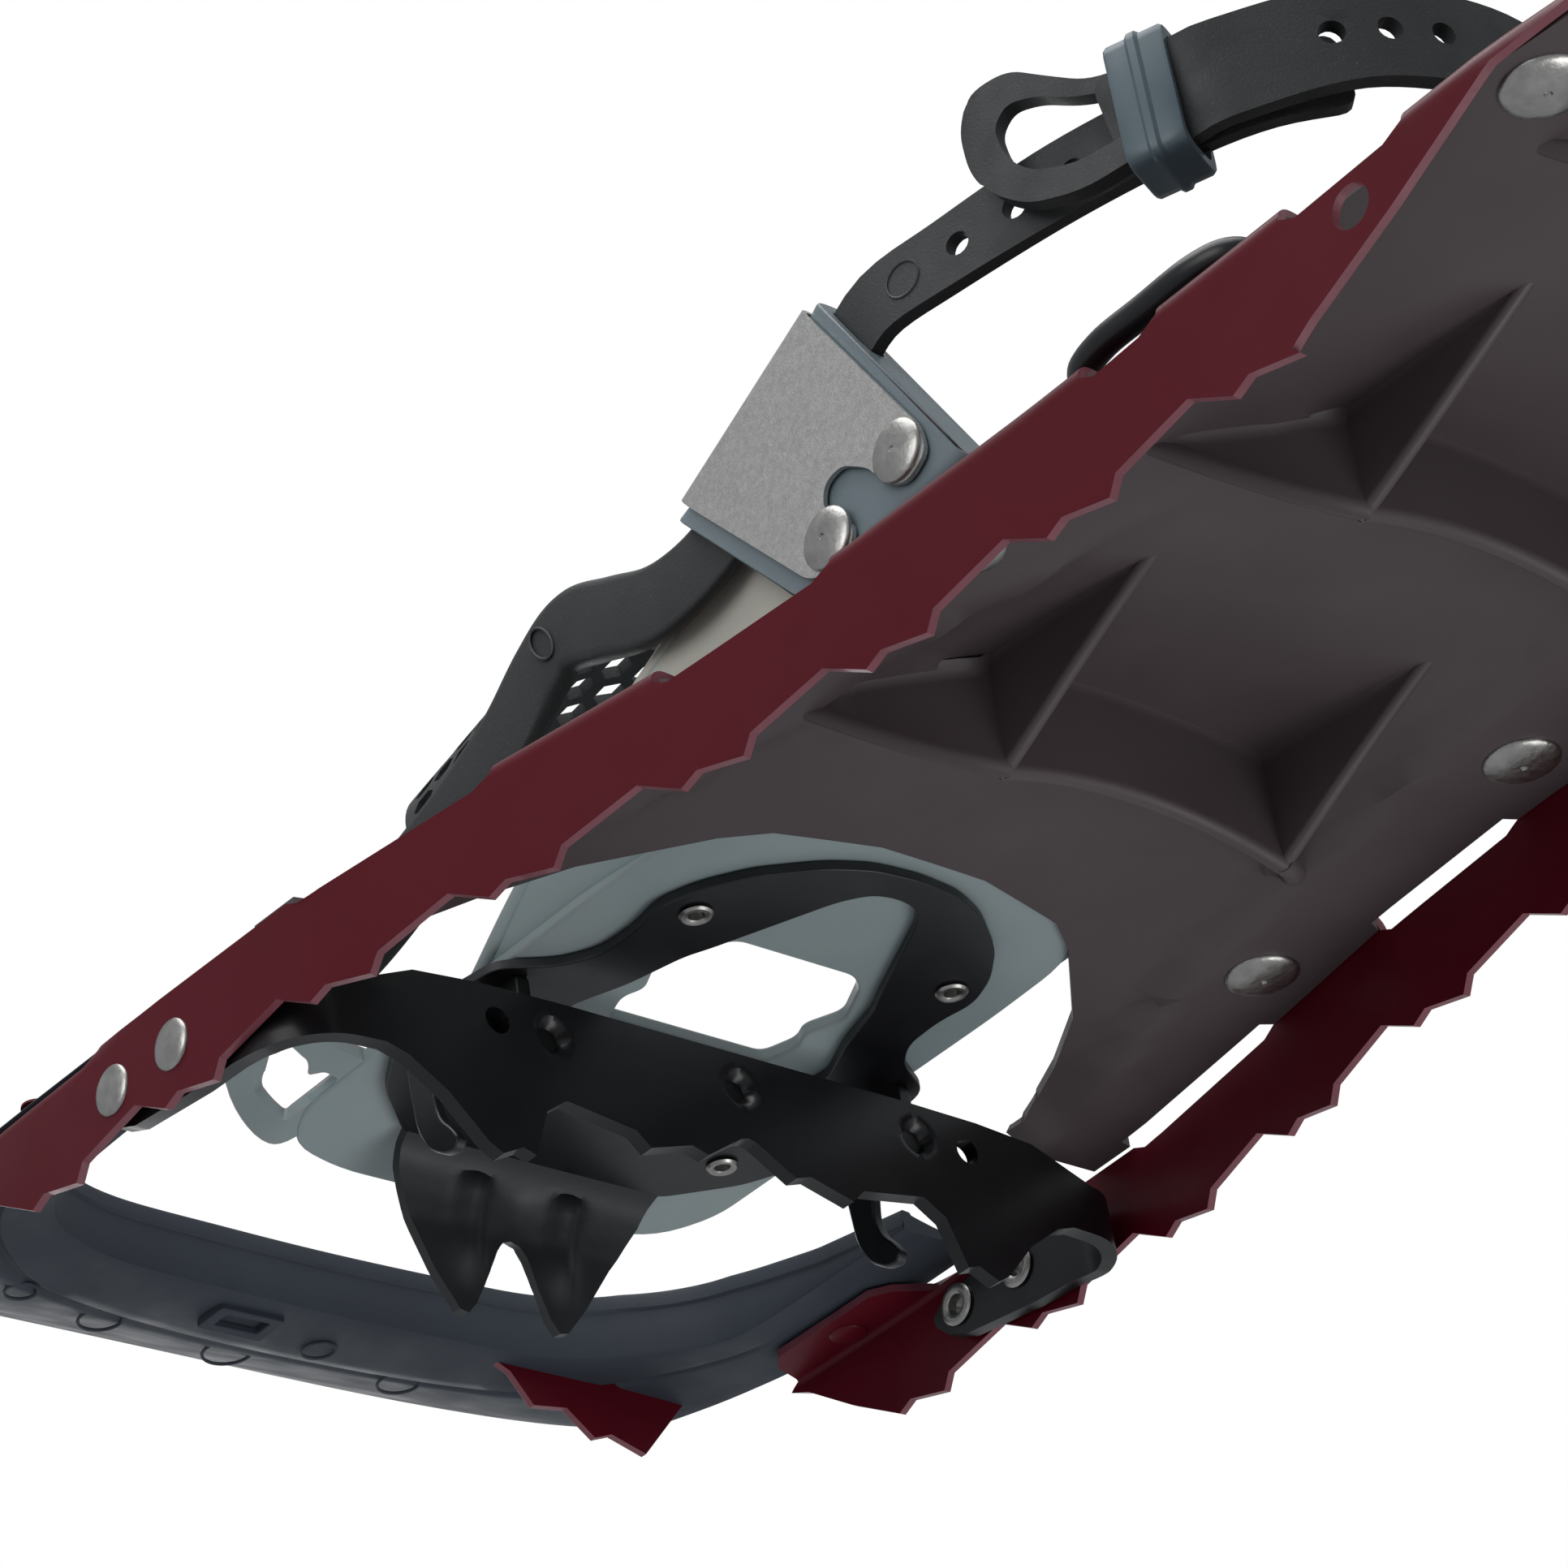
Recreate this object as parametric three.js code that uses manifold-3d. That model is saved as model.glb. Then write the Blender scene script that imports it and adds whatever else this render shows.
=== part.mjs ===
// A snowshoe for the left foot: a moulded deck and toe bow between two toothed steel rails, a toothed
// crossbar, and a binding that tilts about the crossbar. Millimetres; +Z up, toe towards -Y, wearer's
// left towards +X. Inside the shoe group Y = 0 is the rear face of the crossbar and Z = 0 is the plane
// of the rail teeth; the group is then moved so that the origin is the bottom centre of the whole shoe.
import * as THREE from "three";
import { mergeVertices } from "three/addons/utils/BufferGeometryUtils.js";
import Module from "manifold-3d";

const wasm = await Module();
wasm.setup();

// ---------------------------------------------------------------- driving dimensions
const TOE_Y = -200;                // foremost point of the toe bow
const TAIL_Y = 360;                // rearmost point of the deck
const GAP = 0.3;                   // clearance between touching pieces

const RAIL_THICK = 1.6;
const RAIL_TOP = 20;               // top of the rail web, above the tooth plane
const TAB_TOP = 25;                // top of the folded tabs
const TAB_REACH = 21;              // how far a tab reaches in over the deck
const BOW_TAB = { from: -98, to: -62, top: 20.9, reach: 13, rivetY: -80, rivetInset: 6.4 };
const BOW_RIVET_LENGTH = 6;
const TOOTH_PITCH = 40;
const FIRST_TOOTH_Y = -74.3;
const TOOTH_GROUPS = 8;
const RAIL_END_Y = 292;
// Half-width of the shoe over the rails, as [y, half-width] along its length.
const HALF_WIDTH = [
  [-140, 101.5], [-74, 101.5], [-34, 100.9], [6, 99.2], [46, 92.4], [86, 84.6],
  [126, 80.2], [166, 78.8], [206, 78.5], [262, 78.4], [280, 76.5], [300, 71],
];
const TABS = [[50, 82], [123, 177], [196, 220], [247, RAIL_END_Y]];
const DECK_RIVETS = [[61.5, 15], [136, 15.3], [165, 15.3], [208, 13], [263, 12]]; // [y, inset]

const CROSSBAR_THICK = 3;
const CROSSBAR_FLAT = 84.4;        // half-length of the flat part
const CROSSBAR_BEND = 12;          // radius of the bend into each end flange
const FLANGE_LENGTH = 42;
const DEEPEST_TOOTH = -15.7;       // crossbar tooth tips, the lowest points of the shoe
const FLANGE_RIVET_Y = [-31, -48.5];
const FLANGE_RIVET_Z = 10.8;

const DECK_BOTTOM = 21.2;
const DECK_THICK = 2;
// How far the middle of the deck rises above its flanges, as [y, rise].
const VAULT_RISE = [[58, 0.8], [100, 6], [150, 4], [188, 6], [232, 4], [270, 6], [300, 4], [330, 2]];
const VAULT_HALF = 46;              // half-width of the raised middle
const RIB_ROWS = [[106, 6], [188.5, 5], [271, 6]]; // [y, height of the fin tips]
const RIB_THICK = 2.6;
const RIB_BOW = 4.4;               // how much higher a cross rib's lower edge is in its middle
const FIN_X = 32;
const FIN_LENGTH = 41;
const ARM_END = { x: 58, ahead: 20 }; // where each outer arm runs out on the flange, ahead of its row

const PIVOT = { y: -9, z: 11, halfInner: 37, halfOuter: 56, radius: 3 };
const PLATE_Z = 24.7;              // underside of the crampon plate
const PLATE_THICK = 2;
const PLATE_RIVETS = [[29.8, 26.8], [-29.8, 26.8], [33, -43], [-33, -43]]; // [x, y]
const PLATE_RIVET_SUNK = 2;        // how far their heads are let into the footbed
const FOOTBED_Z = PLATE_Z + PLATE_THICK + GAP;
const FOOTBED_THICK = 3;
const CLAW_TIP = { x: 11.3, z: -3 };
const CLAW_LEAN = 0.37;            // how far the claws lean forward per millimetre of depth
const GUIDE_X = 58;                // inner wall of each strap guide
const GUIDE_CORNERS = [[72, 68.3], [113, 87], [139.5, 38], [98, 35.5]]; // side view, [y, z]
const GUIDE_RIVETS = [[126.5, 46.5], [108, 41]]; // [y, z]
const STRAP_THICK = 3;
const STRAP_WIDTH = 16;
const BAIL = { x: 69, pivotX: 51, pivotY: 204, frontY: 166, z: 32.6, radius: 2.6 };

// ---------------------------------------------------------------- materials
const material = (colour, roughness, metalness = 0) =>
  new THREE.MeshStandardMaterial({ color: colour, roughness, metalness });
const PAINTED_RAIL = material(0x560f1d, 0.35, 0.2);
const BLACK_STEEL = material(0x17181b, 0.35, 0.4);
const DECK_PLASTIC = material(0x4b4044, 0.5);
const TOE_PLASTIC = material(0x3d464f, 0.55);
const CLEAR_TPU = material(0x8c999e, 0.4);
const GUIDE_TPU = material(0x6d7a82, 0.4);
const BLACK_TPU = material(0x26282a, 0.6);
const STAINLESS = material(0xb4b2ad, 0.35, 0.9);
const RIVET_METAL = material(0x98968f, 0.4, 0.9);

// ---------------------------------------------------------------- geometry helpers
const v3 = (x, y, z) => new THREE.Vector3(x, y, z);

function toSolid(geometry) {
  const plain = geometry.clone();
  plain.deleteAttribute("normal");
  plain.deleteAttribute("uv");
  const merged = mergeVertices(plain, 1e-4);
  const made = new wasm.Manifold(new wasm.Mesh({
    numProp: 3,
    vertProperties: new Float32Array(merged.attributes.position.array),
    triVerts: new Uint32Array(merged.index.array),
  }));
  return made;
}

function toGeometry(solid) {
  const m = solid.getMesh();
  const geometry = new THREE.BufferGeometry();
  geometry.setAttribute("position", new THREE.BufferAttribute(new Float32Array(m.vertProperties), 3));
  geometry.setIndex(new THREE.BufferAttribute(new Uint32Array(m.triVerts), 1));
  geometry.computeVertexNormals();
  return geometry;
}

// Interpolates a [key, value] table.
function along(table, key) {
  if (key <= table[0][0]) return table[0][1];
  for (let i = 1; i < table.length; i++) {
    const [k1, a] = table[i];
    const [k0, b] = table[i - 1];
    if (key <= k1) return b + ((a - b) * (key - k0)) / (k1 - k0);
  }
  return table[table.length - 1][1];
}

const halfWidth = (y) => along(HALF_WIDTH, y);

// Triangles closing a loop of points that lies roughly in one plane.
function capTriangles(loop) {
  const normal = v3(0, 0, 0);
  loop.forEach((p, i) => {
    const q = loop[(i + 1) % loop.length];
    normal.add(v3((p.y - q.y) * (p.z + q.z), (p.z - q.z) * (p.x + q.x), (p.x - q.x) * (p.y + q.y)));
  });
  normal.normalize();
  const u = (Math.abs(normal.x) < 0.9 ? v3(1, 0, 0) : v3(0, 1, 0)).cross(normal).normalize();
  const w = normal.clone().cross(u);
  const flat = loop.map((p) => new THREE.Vector2(p.dot(u), p.dot(w)));
  return THREE.ShapeUtils.triangulateShape(flat, []);
}

// A closed body through a row of loops that all have the same number of points.
function loft(loops) {
  const count = loops[0].length;
  const positions = loops.flat().flatMap((p) => [p.x, p.y, p.z]);
  const index = [];
  for (let k = 0; k < loops.length - 1; k++)
    for (let i = 0; i < count; i++) {
      const a = k * count + i;
      const b = k * count + ((i + 1) % count);
      index.push(a, b, b + count, a, b + count, a + count);
    }
  const last = (loops.length - 1) * count;
  capTriangles(loops[0]).forEach(([a, b, c]) => index.push(a, c, b));
  capTriangles(loops[loops.length - 1]).forEach(([a, b, c]) => index.push(last + a, last + b, last + c));
  const geometry = new THREE.BufferGeometry();
  geometry.setAttribute("position", new THREE.Float32BufferAttribute(positions, 3));
  geometry.setIndex(index);
  const solid = toSolid(geometry);
  if (solid.volume() > 0) return solid;
  for (let i = 0; i < index.length; i += 3) [index[i], index[i + 1]] = [index[i + 1], index[i]];
  geometry.setIndex(index);
  return toSolid(geometry);
}

// An outline extruded along one axis: "x" takes [y, z] points, "y" takes [x, z], "z" takes [x, y].
function prism(axis, outline, from, to) {
  const shape = new THREE.Shape(outline.map(([a, b]) => new THREE.Vector2(a, b)));
  const geometry = new THREE.ExtrudeGeometry(shape, { depth: Math.abs(to - from), bevelEnabled: false });
  const low = Math.min(from, to);
  const matrix = new THREE.Matrix4();
  if (axis === "x") matrix.makeBasis(v3(0, 1, 0), v3(0, 0, 1), v3(1, 0, 0)).setPosition(low, 0, 0);
  if (axis === "y")
    matrix.makeBasis(v3(1, 0, 0), v3(0, 0, 1), v3(0, -1, 0)).setPosition(0, Math.max(from, to), 0);
  if (axis === "z") matrix.setPosition(0, 0, low);
  return toSolid(geometry.applyMatrix4(matrix));
}

const block = (x0, x1, y0, y1, z0, z1) =>
  prism("z", [[x0, y0], [x1, y0], [x1, y1], [x0, y1]], z0, z1);

// A round bar between two points.
function bar(from, to, radius, sides = 12) {
  const axis = to.clone().sub(from);
  const geometry = new THREE.CylinderGeometry(radius, radius, axis.length(), sides);
  const turn = new THREE.Quaternion().setFromUnitVectors(v3(0, 1, 0), axis.clone().normalize());
  const middle = from.clone().add(to).multiplyScalar(0.5);
  return toSolid(geometry.applyMatrix4(new THREE.Matrix4().compose(middle, turn, v3(1, 1, 1))));
}

// A revolved [radius, height] profile whose axis points along `direction` from `base`.
function turned(profile, base, direction, sides = 16) {
  const points = profile.map(([r, h]) => new THREE.Vector2(r, h));
  const turn = new THREE.Quaternion().setFromUnitVectors(v3(0, 1, 0), direction.clone().normalize());
  const geometry = new THREE.LatheGeometry(points, sides);
  const solid = toSolid(geometry.applyMatrix4(new THREE.Matrix4().compose(base, turn, v3(1, 1, 1))));
  return solid.volume() > 0 ? solid : turned([...profile].reverse(), base, direction, sides);
}

// A round wire bent along a smooth curve.
function wire(points, radius, steps, sides = 8) {
  const section = new THREE.Shape();
  for (let i = 0; i < sides; i++) {
    const angle = (2 * Math.PI * i) / sides;
    const put = i ? "lineTo" : "moveTo";
    section[put](radius * Math.cos(angle), radius * Math.sin(angle));
  }
  const path = new THREE.CatmullRomCurve3(points, false, "centripetal");
  return toSolid(new THREE.ExtrudeGeometry(section, { steps, extrudePath: path, bevelEnabled: false }));
}

// A flat band along a curve, `width` across in the direction given at each point.
function band(centres, acrosses, width, thick, steps) {
  const path = new THREE.CatmullRomCurve3(centres, false, "centripetal");
  const across = new THREE.CatmullRomCurve3(acrosses, false, "centripetal");
  const loops = [];
  for (let i = 0; i <= steps; i++) {
    const t = i / steps;
    const centre = path.getPoint(t);
    const side = across.getPoint(t).normalize();
    const face = path.getTangent(t).cross(side).normalize();
    const w = typeof width === "function" ? width(t) : width;
    loops.push([[-1, -1], [1, -1], [1, 1], [-1, 1]].map(([a, b]) =>
      centre.clone().addScaledVector(side, (a * w) / 2).addScaledVector(face, (b * thick) / 2)));
  }
  return loft(loops);
}

const join = (solids) => solids.reduce((a, b) => a.add(b));
const cut = (solid, tools) => tools.reduce((a, b) => a.subtract(b), solid);
const mirrored = (point, side) => v3(point.x * side, point.y, point.z);

const shoe = new THREE.Group();
function add(name, solid, finish) {
  const mesh = new THREE.Mesh(toGeometry(solid), finish);
  mesh.name = name;
  shoe.add(mesh);
}
const SIDES = [["left", 1], ["right", -1]];

// ---------------------------------------------------------------- steel rails
// Lower edge of the rail as [y, z], toe to tail: a swept-up front, repeated tooth groups, a tapered tail.
function railLowerEdge() {
  const edge = [[-104, 19], [-99, 16], [-87, 7.6]];
  const group = [[0, 0], [3.7, 1.5], [13.5, -1.2], [15.6, 2], [31.7, 4.9]];
  for (let i = 0; i < TOOTH_GROUPS; i++)
    group.forEach(([dy, z]) => edge.push([FIRST_TOOTH_Y + i * TOOTH_PITCH + dy, z]));
  return edge.slice(0, -2).concat([[218, 0.3], [222, 2.5], [241, 10.3], [263, 20.5], [RAIL_END_Y, 22.8]]);
}

// Upper edge of the rail as [y, z]: it steps up to the fold at each tab.
function railUpperEdge() {
  const edge = [[-104, 20.6], [2, 20.9], [5, RAIL_TOP - 0.6]];
  TABS.forEach(([from, to]) =>
    edge.push([from - 5, RAIL_TOP + 0.8], [from, TAB_TOP], [to, TAB_TOP], [to + 4, RAIL_TOP]));
  return edge.filter(([y]) => y <= RAIL_END_Y);
}

function rail(side) {
  const lower = railLowerEdge();
  const upper = railUpperEdge();
  const stations = [...new Set([...lower, ...upper].map(([y]) => y))].sort((a, b) => a - b);
  const loops = stations.map((y) => {
    const outer = halfWidth(y) * side;
    const inner = (halfWidth(y) - RAIL_THICK) * side;
    const low = along(lower, y);
    const high = along(upper, y);
    return [v3(outer, y, low), v3(inner, y, low), v3(inner, y, high), v3(outer, y, high)];
  });
  const tabs = TABS.map(([from, to]) => {
    const outline = [from, (from + to) / 2, to].map((y) => [(halfWidth(y) - 0.8) * side, y]);
    const reach = (y, trim) => [(halfWidth(y) - TAB_REACH + trim) * side, y];
    outline.push(reach(to - 3, 3), reach(to - 8, 0), reach(from + 8, 0), reach(from + 3, 3));
    return prism("z", outline, TAB_TOP - RAIL_THICK, TAB_TOP);
  });
  const bowOuter = (halfWidth(BOW_TAB.from) - 0.8) * side;
  const bowInner = (halfWidth(BOW_TAB.from) - BOW_TAB.reach) * side;
  tabs.push(prism("z", [[bowOuter, BOW_TAB.from], [bowOuter, BOW_TAB.to], [bowInner, BOW_TAB.to - 5],
    [bowInner, BOW_TAB.from + 5]], BOW_TAB.top - RAIL_THICK, BOW_TAB.top));
  const holes = FLANGE_RIVET_Y.map((y) =>
    bar(v3(90 * side, y, FLANGE_RIVET_Z), v3(104 * side, y, FLANGE_RIVET_Z), 2.6 + GAP, 8));
  holes.push(bowRivetHole(side));
  const tailHole = bar(v3(70 * side, 234, 15), v3(85 * side, 234, 15), 3.6);
  const rivetHoles = DECK_RIVETS.map(([y, inset]) =>
    bar(v3((halfWidth(y) - inset) * side, y, 15), v3((halfWidth(y) - inset) * side, y, 30), 2.6 + GAP, 8));
  return cut(join([loft(loops), ...tabs]), [...holes, tailHole, ...rivetHoles]);
}

const bowRivetX = (side) => (halfWidth(BOW_TAB.rivetY) - BOW_TAB.rivetInset) * side;
const bowRivetHole = (side) =>
  bar(v3(bowRivetX(side), BOW_TAB.rivetY, 10), v3(bowRivetX(side), BOW_TAB.rivetY, 45), 1.6 + GAP, 8);

// Toothed steel strip across the toe, with its cluster of teeth near the wearer's right side.
function toeRail() {
  const cluster = [[47, 23.5], [52, 17], [60.5, 18], [67, 12.6], [71.5, 14.2], [80, 11.4], [93, 26]];
  const outline = [
    [93, 26], [93, 28], [70, 33], [-70, 33], [-93, 28],
    ...cluster.map(([x, z]) => [-x, z]).reverse(), [-40, 27], [40, 27],
  ];
  const holes = [-20, 20].map((x) => bar(v3(x, -140, 30), v3(x, -120, 30), 1.6));
  return cut(prism("y", outline, -129.6, -128), holes);
}

// ---------------------------------------------------------------- crossbar
// The bar is one strip: flat across the shoe, then bent forward along each rail.
function crossbarPoint(s, offset) {
  const sign = Math.sign(s) || 1;
  const distance = Math.abs(s);
  const arc = (Math.PI / 2) * CROSSBAR_BEND;
  const middleY = -CROSSBAR_THICK / 2;
  if (distance <= CROSSBAR_FLAT) return [s, middleY + offset];
  if (distance <= CROSSBAR_FLAT + arc) {
    const angle = (distance - CROSSBAR_FLAT) / CROSSBAR_BEND;
    const radius = CROSSBAR_BEND + offset;
    return [
      sign * (CROSSBAR_FLAT + radius * Math.sin(angle)),
      middleY - CROSSBAR_BEND + radius * Math.cos(angle),
    ];
  }
  return [
    sign * (CROSSBAR_FLAT + CROSSBAR_BEND + offset),
    middleY - CROSSBAR_BEND - (distance - CROSSBAR_FLAT - arc),
  ];
}

function crossbar() {
  const lower = [
    [0, 0.8], [1.8, 0.3], [10.1, -4.9], [13.7, -3.8], [23.3, -6.6], [26.3, -3.8], [41.2, -1.6],
    [46, -4.8], [49.6, -14.2], [52.3, -13.3], [56.8, DEEPEST_TOOTH], [59.6, -13.9], [67.1, -6],
    [74.9, -0.7], [79.3, 0.6], [88, 0.2], [94, 0], [100, 0], [108, 1.2], [118, 1.7], [137, 4],
    [143, 6.5], [146, 9.5],
  ];
  const upper = [
    [0, 18.2], [38, 18.2], [58, 17.8], [72, 16.6], [81, 13], [86, 11], [94, 11], [102, 13],
    [108, 15.4], [116, 16.6], [135, 15], [143, 12.5], [146, 10.4],
  ];
  const half = [...new Set([...lower, ...upper].map(([s]) => s))].sort((a, b) => a - b);
  const stations = [...half.slice(1).reverse().map((s) => -s), ...half];
  const inner = -CROSSBAR_THICK / 2;
  const outer = CROSSBAR_THICK / 2;
  const loops = stations.map((s) => {
    const low = along(lower, Math.abs(s));
    const high = along(upper, Math.abs(s));
    const front = crossbarPoint(s, inner);
    const rear = crossbarPoint(s, outer);
    return [v3(...front, low), v3(...rear, low), v3(...rear, high), v3(...front, high)];
  });
  const holes = [-54.5, 54.5].map((x) => bar(v3(x, -10, 11.1), v3(x, 5, 11.1), 2.6));
  const pinHoles = [-1, 1].flatMap((side) => FLANGE_RIVET_Y.map((y) =>
    bar(v3(90 * side, y, FLANGE_RIVET_Z), v3(104 * side, y, FLANGE_RIVET_Z), 2.6 + GAP, 8)));
  return cut(loft(loops), [...holes, ...pinHoles]);
}

// A rivet with a domed head at `head`, its shank along `direction`, and a rolled far end.
function rivet(head, direction, headRadius, shankRadius, length) {
  const far = length + 1;
  return turned([
    [0, -1.8], [headRadius * 0.55, -1.6], [headRadius * 0.9, -0.9], [headRadius, -GAP],
    [shankRadius, -GAP], [shankRadius, length + GAP], [shankRadius + 1.4, length + GAP],
    [shankRadius + 1, far], [0, far],
  ], head, direction, 10);
}

// ---------------------------------------------------------------- deck
const deckHalfWidth = (y) => {
  const besideTab = TABS.some(([from, to]) => y >= from - 1 && y <= to + 1);
  const tuck = y < 2 || besideTab ? 2.2 : 5;
  if (y <= 262) return halfWidth(y) - tuck;
  const t = Math.min(1, (y - 262) / (TAIL_Y - 262));
  const round = Math.max(12, (halfWidth(262) - 2.2) * Math.sqrt(1 - t ** 2.4));
  return y <= RAIL_END_Y ? Math.min(round, halfWidth(y) - 2.2) : round;
};

// Height of the deck's underside: flat flanges, a raised middle, and a slightly raised tail.
function deckUnderside(x, y) {
  const rise = Math.max(0, 1 - (x / VAULT_HALF) ** 2) * along(VAULT_RISE, y);
  const tail = 14 * THREE.MathUtils.smoothstep(y, RAIL_END_Y, TAIL_Y + 20);
  return DECK_BOTTOM + rise + tail;
}

function deckShell() {
  const tabEdges = TABS.slice(0, 3).flatMap(([from, to]) => [from - 1.2, from - 0.8, to + 0.8, to + 1.2]);
  const tabStart = TABS[3][0];
  const stations = [-9, 1.8, 2.2, 30, 58, 70, 100, tabStart - 1.2, tabStart - 0.8, 262, RAIL_END_Y,
    RAIL_END_Y + 1, 308, 325, 338, 348, 355, TAIL_Y, ...tabEdges].sort((a, b) => a - b);
  const across = [-1, -0.72, -0.6, -0.5, -0.25, 0, 0.25, 0.5, 0.6, 0.72, 1];
  const loops = stations.map((y) => {
    const w = deckHalfWidth(y);
    const bottom = across.map((t) => v3(t * w, y, deckUnderside(t * w, y)));
    const top = across.map((t) => v3(t * w, y, deckUnderside(t * w, y) + DECK_THICK)).reverse();
    return [...bottom, ...top];
  });
  return loft(loops);
}

// In each row of ribs a bowed cross rib joins two fins, which rise towards the tail, and an outer arm
// runs forward from each fin's tip and rises to the flange.
function deckRibs() {
  const root = (x, y) => deckUnderside(x, y) + DECK_THICK / 2;
  const half = RIB_THICK / 2;
  return RIB_ROWS.flatMap(([y, tip]) => {
    const across = [-1, -0.75, -0.5, -0.25, 0, 0.25, 0.5, 0.75, 1];
    const under = across.map((t) => [t * FIN_X, tip + RIB_BOW * (1 - t * t)]);
    const over = across.map((t) => [t * FIN_X, root(t * FIN_X, y)]).reverse();
    const crossRib = prism("y", [...under, ...over], y - half, y + half);
    const sides = [-1, 1].flatMap((side) => {
      const rear = y + FIN_LENGTH;
      const blade = [[y - half, tip], [rear, deckUnderside(FIN_X, rear)], [rear, root(FIN_X, rear)],
        [(y + rear) / 2, root(FIN_X, (y + rear) / 2)], [y - half, root(FIN_X, y)]];
      const fin = prism("x", blade, side * FIN_X - half, side * FIN_X + half);
      const end = [ARM_END.x * side, y - ARM_END.ahead];
      const out = v3(end[0] - FIN_X * side, end[1] - y, 0).normalize();
      const square = v3(-out.y * half, out.x * half, 0);
      const section = (x, at, low, high) => [[-1, low], [1, low], [1, high], [-1, high]].map(([a, z]) =>
        v3(x + a * square.x, at + a * square.y, z));
      const arm = loft([section(FIN_X * side, y, tip, root(FIN_X, y)),
        section(...end, DECK_BOTTOM - 0.3, DECK_BOTTOM + DECK_THICK / 2)]);
      return [fin, arm];
    });
    return [crossRib, ...sides];
  });
}

function deck() {
  const mouth = [[-76, -20], [-76, -5], [-67, 14], [-58, 29], [-41, 46.5], [-33, 52], [-12, 56.5], [12, 56.5],
    [33, 52], [41, 46.5], [58, 29], [67, 14], [76, -5], [76, -20]];
  const rivetHoles = SIDES.flatMap(([, side]) => DECK_RIVETS.map(([y, inset]) => {
    const x = (halfWidth(y) - inset) * side;
    return bar(v3(x, y, 15), v3(x, y, 30), 2.6 + GAP, 8);
  }));
  return cut(join([deckShell(), ...deckRibs()]), [prism("z", mouth, 5, 60), ...rivetHoles]);
}

// ---------------------------------------------------------------- toe bow
// Plan outlines of one half of the bow, from the end of its arm to the middle of the toe: the edge of
// the toe hole, and the outer edge beside it.
const BOW_HOLE = [[79, -44], [79, -60], [79, -78], [78.5, -90], [76.5, -101], [71, -111], [62, -118.5],
  [48, -122.8], [24, -124], [0, -124.5]];
const BOW_OUTER = [[99, -44], [99.4, -60], [99.8, -76], [100, -92], [100, -108], [97, -128],
  [89, -148], [72, -170], [42, -192], [0, TOE_Y]];
const BOW_STEPS = 36;
const BOW_TOP = [[-123, 39], [-115, 39], [-94, 35.5], [-69, 29.8], [-38, 25.2]]; // [y, top of the inner wall]

function bowCurve(half) {
  const whole = [...half, ...half.slice(0, -1).reverse().map(([x, y]) => [-x, y])];
  return new THREE.CatmullRomCurve3(whole.map(([x, y]) => v3(x, y, 0)));
}

function toeBow() {
  const hole = bowCurve(BOW_HOLE);
  const outer = bowCurve(BOW_OUTER);
  const { smoothstep } = THREE.MathUtils;
  const lift = (y) => 30 * Math.max(0, (-138 - y) / 62) ** 1.3;
  const loops = [];
  for (let i = 0; i <= BOW_STEPS; i++) {
    const from = hole.getPoint(i / BOW_STEPS);
    const to = outer.getPoint(i / BOW_STEPS);
    const bottom = 21.6 + 3.4 * smoothstep(-from.y, 90, 120);
    const wall = along(BOW_TOP, from.y) - bottom;
    const edge = 1.2 + 3.3 * smoothstep(-to.y, 100, 140);
    const point = (t, depth) => {
      const at = from.clone().lerp(to, t);
      return at.setZ(bottom + lift(at.y) + depth);
    };
    const shares = [0, 0.3, 0.6, 1];
    const under = shares.map((t) => point(t, 0));
    const over = shares.map((t) => point(t, edge + (wall - edge) * (1 - t) ** 1.6));
    loops.push([...under, ...over.reverse()]);
  }
  const slot = prism("y", [[-94, 10], [94, 10], [94, 28.4], [71, 33.4], [-71, 33.4], [-94, 28.4]],
    -130.2, -127.4);
  return cut(loft(loops), [slot, bowRivetHole(1), bowRivetHole(-1)]);
}

// ---------------------------------------------------------------- pivot hardware
function pivotBracket(side) {
  const outline = [[-3.3, 16], [-3.3, 3], [-9, 3.6], [-14.5, 7], [-15.5, 11], [-14, 15], [-10, 17.5]];
  const cheeks = [PIVOT.halfInner + 0.4, PIVOT.halfOuter - 2.4].map((x) =>
    prism("x", outline, x * side, (x + 2) * side));
  const back = block(PIVOT.halfInner * side, (PIVOT.halfOuter - 0.4) * side, -4.3, -3.3, 3.4, 16);
  const hole = bar(v3(30 * side, PIVOT.y, PIVOT.z), v3(60 * side, PIVOT.y, PIVOT.z), PIVOT.radius + GAP, 16);
  return cut(join([back, ...cheeks]), [hole]);
}

const pivotPin = (side) => turned([
  [0, 0], [4.6, 0], [4.6, 1.6], [PIVOT.radius, 1.6], [PIVOT.radius, 21.5], [0, 21.5],
], v3((PIVOT.halfOuter + 1.8) * side, PIVOT.y, PIVOT.z), v3(-side, 0, 0));

// A split ring hanging on the inner end of each pin.
function splitRing(side) {
  const ring = new THREE.TorusGeometry(4.6, 0.9, 5, 16);
  ring.rotateY(Math.PI / 2);
  ring.translate(35.2 * side, PIVOT.y, PIVOT.z - 1.2);
  return toSolid(ring);
}

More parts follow.
